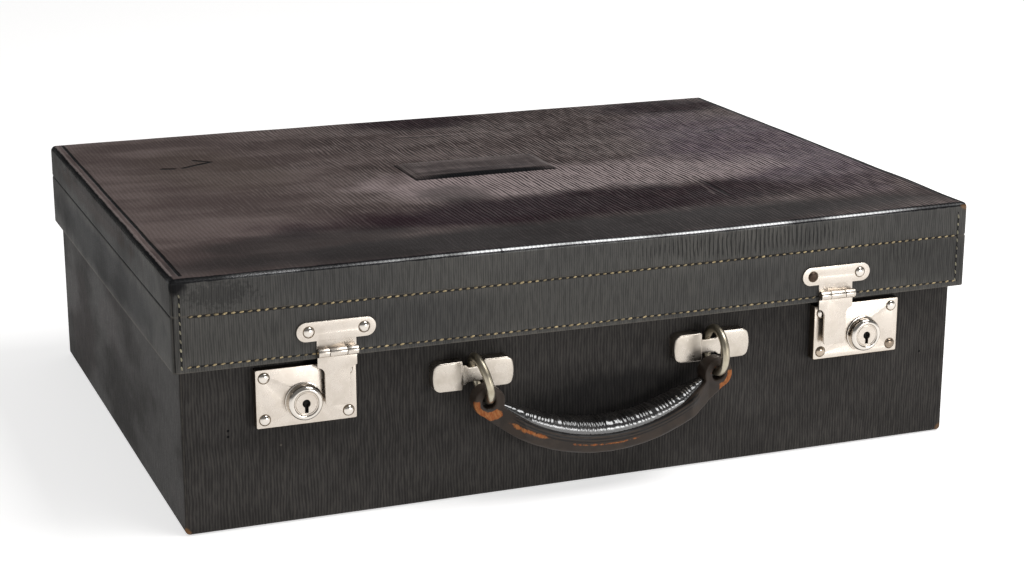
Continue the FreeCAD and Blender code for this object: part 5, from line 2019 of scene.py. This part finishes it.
    def fold(self, run: float, y: float) -> float:
        """Height of the grip's wrinkles.

        Args:
            run: place along the grip, in millimetres.
            y: place across it.

        Returns:
            The height, round zero.
        """
        drift = 1.3 * noise.noise(Vector((run * 0.13, y * 0.04, 2.0)))
        wave = math.sin(math.tau * (run / self.wrinkle + drift))
        loose = noise.noise(Vector((run * 0.55, y * 0.10 + 7.0, 5.0)))
        return 0.55 * wave * (0.75 + 0.6 * noise.noise(Vector((run * 0.12, y * 0.2, 9.0)))) + 0.4 * loose


@dataclass
class BackHinges:
    """Leaves and pins of the two back hinges."""

    shop: Shop
    bevel: float = 0.25

    def build(self) -> None:
        """Make the leaves and dress the pins."""
        for side in Side:
            for part in ("base", "lid"):
                node = f"{side.value}_hinge_{part}_leaf"
                settle(eased_copy(node, self.bevel, self.shop.steel), part, "steel", node)
            dress_solid(f"{side.value}_hinge_pin", self.shop.steel)


@dataclass
class Inside:
    """Boards, lining and stud washers."""

    shop: Shop

    def build(self) -> None:
        """Dress the solids of the inside."""
        for shell, flat in (("base", "bottom"), ("lid", "top")):
            for wall in (flat, "front", "back", "left", "right"):
                dress_solid(f"{shell}_{wall}_board", self.shop.board)
            dress_solid(f"{shell}_lining", self.shop.cloth)
        dress_solid("handle_stud_washers", self.shop.steel)


@dataclass
class Stage:
    """Camera, soft light, white surroundings and floor."""

    eye: Point = (-438.88, -1172.69, 420.55)
    azimuth: float = -21.31
    elevation: float = 15.90
    lens: float = 75.254
    ceiling: float = 0.2
    ambient: float = 0.34
    floor_level: float = -0.3
    floor_tone: Colour = (0.82, 0.81, 0.80, 1.0)
    floor_glow: tuple[float, float] = (0.38, 0.25)
    white: Colour = (1.0, 1.0, 1.0, 1.0)

    def camera(self) -> None:
        """Set the camera at the photograph's angle."""
        a, e = math.radians(self.azimuth), math.radians(self.elevation)
        back = Vector((math.sin(a) * math.cos(e), -math.cos(a) * math.cos(e), math.sin(e)))
        right = Vector((math.cos(a), math.sin(a), 0.0))
        up = back.cross(right)
        data = bpy.data.cameras.new("camera")
        data.lens = self.lens
        data.sensor_width = 36.0
        data.sensor_fit = "HORIZONTAL"
        data.clip_end = 50.0
        camera = bpy.data.objects.new("camera", data)
        turn = Matrix((right, up, back)).transposed().to_4x4()
        camera.matrix_world = Matrix.Translation(mm(*self.eye)) @ turn
        bpy.context.scene.collection.objects.link(camera)
        bpy.context.scene.camera = camera

    def lamp(self, name: str, place: Point, aim: Point, size: tuple[float, float], power: float) -> None:
        """Hang one soft lamp.

        Args:
            name: the lamp's name.
            place: where it hangs, in metres.
            aim: what it points at, in metres.
            size: its width and height in metres.
            power: its power in watts.
        """
        data = bpy.data.lights.new(name, "AREA")
        data.shape = "RECTANGLE"
        data.size, data.size_y = size
        data.energy = power
        lamp = bpy.data.objects.new(name, data)
        lamp.location = place
        lamp.rotation_euler = (Vector(aim) - Vector(place)).to_track_quat("-Z", "Y").to_euler()
        bpy.context.scene.collection.objects.link(lamp)

    @staticmethod
    def seen(w: Wiring) -> tuple[NodeSocket, NodeSocket]:
        """Which rays show a thing, rather than light another by it.

        Args:
            w: the wiring of a world or a material.

        Returns:
            1 on rays of the camera, and 1 on those, on reflected and on refracted rays.
        """
        path = w.node("ShaderNodeLightPath").outputs
        camera = path["Is Camera Ray"]
        return camera, w.total(camera, path["Is Glossy Ray"], path["Is Transmission Ray"])

    def surroundings(self) -> None:
        """A world that is white to the eye, darker above and bright at the right in reflections, and plain as light."""
        world = bpy.data.worlds.new("white_room")
        bpy.context.scene.world = world
        world.use_nodes = True
        w = Wiring(world.node_tree)
        camera, seen = self.seen(w)
        way = w.parts(w.node("ShaderNodeTexCoord").outputs["Generated"])
        ceiling = w.step(way[2], 0.02, 0.32, 1.0, self.ceiling)
        window = w.step(way[0], 0.1, 0.75, 0.15, 1.0)
        behind = w.product(w.step(way[1], -0.1, 0.35), w.step(way[2], 0.0, 0.12))
        ceiling = w.product(ceiling, w.math("MULTIPLY_ADD", w.math("SUBTRACT", window, 1.0), behind, 1.0))
        level = w.total(camera, ceiling, w.product(window, behind, 0.8))
        plain = w.product(w.math("SUBTRACT", 1.0, seen), self.ambient)
        w.fill(world.node_tree.nodes["Background"],
               {"Color": self.white, "Strength": w.math("MULTIPLY_ADD", seen, level, plain)})

    def floor(self) -> None:
        """A pale floor that keeps the shadow."""
        build = bmesh.new()
        bmesh.ops.create_grid(build, x_segments=8, y_segments=8, size=4.0)
        mesh = bpy.data.meshes.new("floor")
        build.to_mesh(mesh)
        build.free()
        for vert in mesh.vertices:
            vert.co.z = self.floor_level * MM
        material, w, shader = new_material("pale_floor")
        w.fill(shader, {"Base Color": self.floor_tone, "Roughness": 0.7, "Specular IOR Level": 0.1})
        strength = w.math("MULTIPLY_ADD", self.seen(w)[1], *self.floor_glow)
        glow = w.out("ShaderNodeEmission", {"Color": self.white, "Strength": strength})
        both = w.out("ShaderNodeAddShader", {0: shader.outputs[0], 1: glow})
        w.fill(material.node_tree.nodes["Material Output"], {"Surface": both})
        publish("floor", mesh, material)

    def build(self) -> None:
        """Set the whole stage."""
        bpy.context.scene.view_settings.view_transform = "Standard"
        self.camera()
        self.surroundings()
        self.floor()
        self.lamp("overhead", (0.87, -0.6, 1.64), (0.87, -0.599, 0.0), (1.07, 1.2), 25.0)
        self.lamp("front", (0.8, -1.8, 0.3), (0.0, -0.1, 0.08), (0.6, 0.4), 7.0)


def main() -> None:
    """Build the suitcase in order, piece by piece."""
    logging.basicConfig(level=logging.INFO, format="%(name)s: %(message)s")
    Stage().build()
    shop = Shop()
    LidLeather(shop).build()
    BaseLeather(shop).build()
    NamePlate(shop).build()
    Stitching(shop).build()
    Pins(shop).build()
    for side in Side:
        Lock(shop, side).build()
        Hasp(shop, side).build()
        Bracket(shop, side, tilt=14.0 if side is Side.LEFT else 0.0).build()
    Handle(shop).build()
    BackHinges(shop).build()
    Inside(shop).build()
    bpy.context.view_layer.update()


if __name__ == "__main__":
    main()
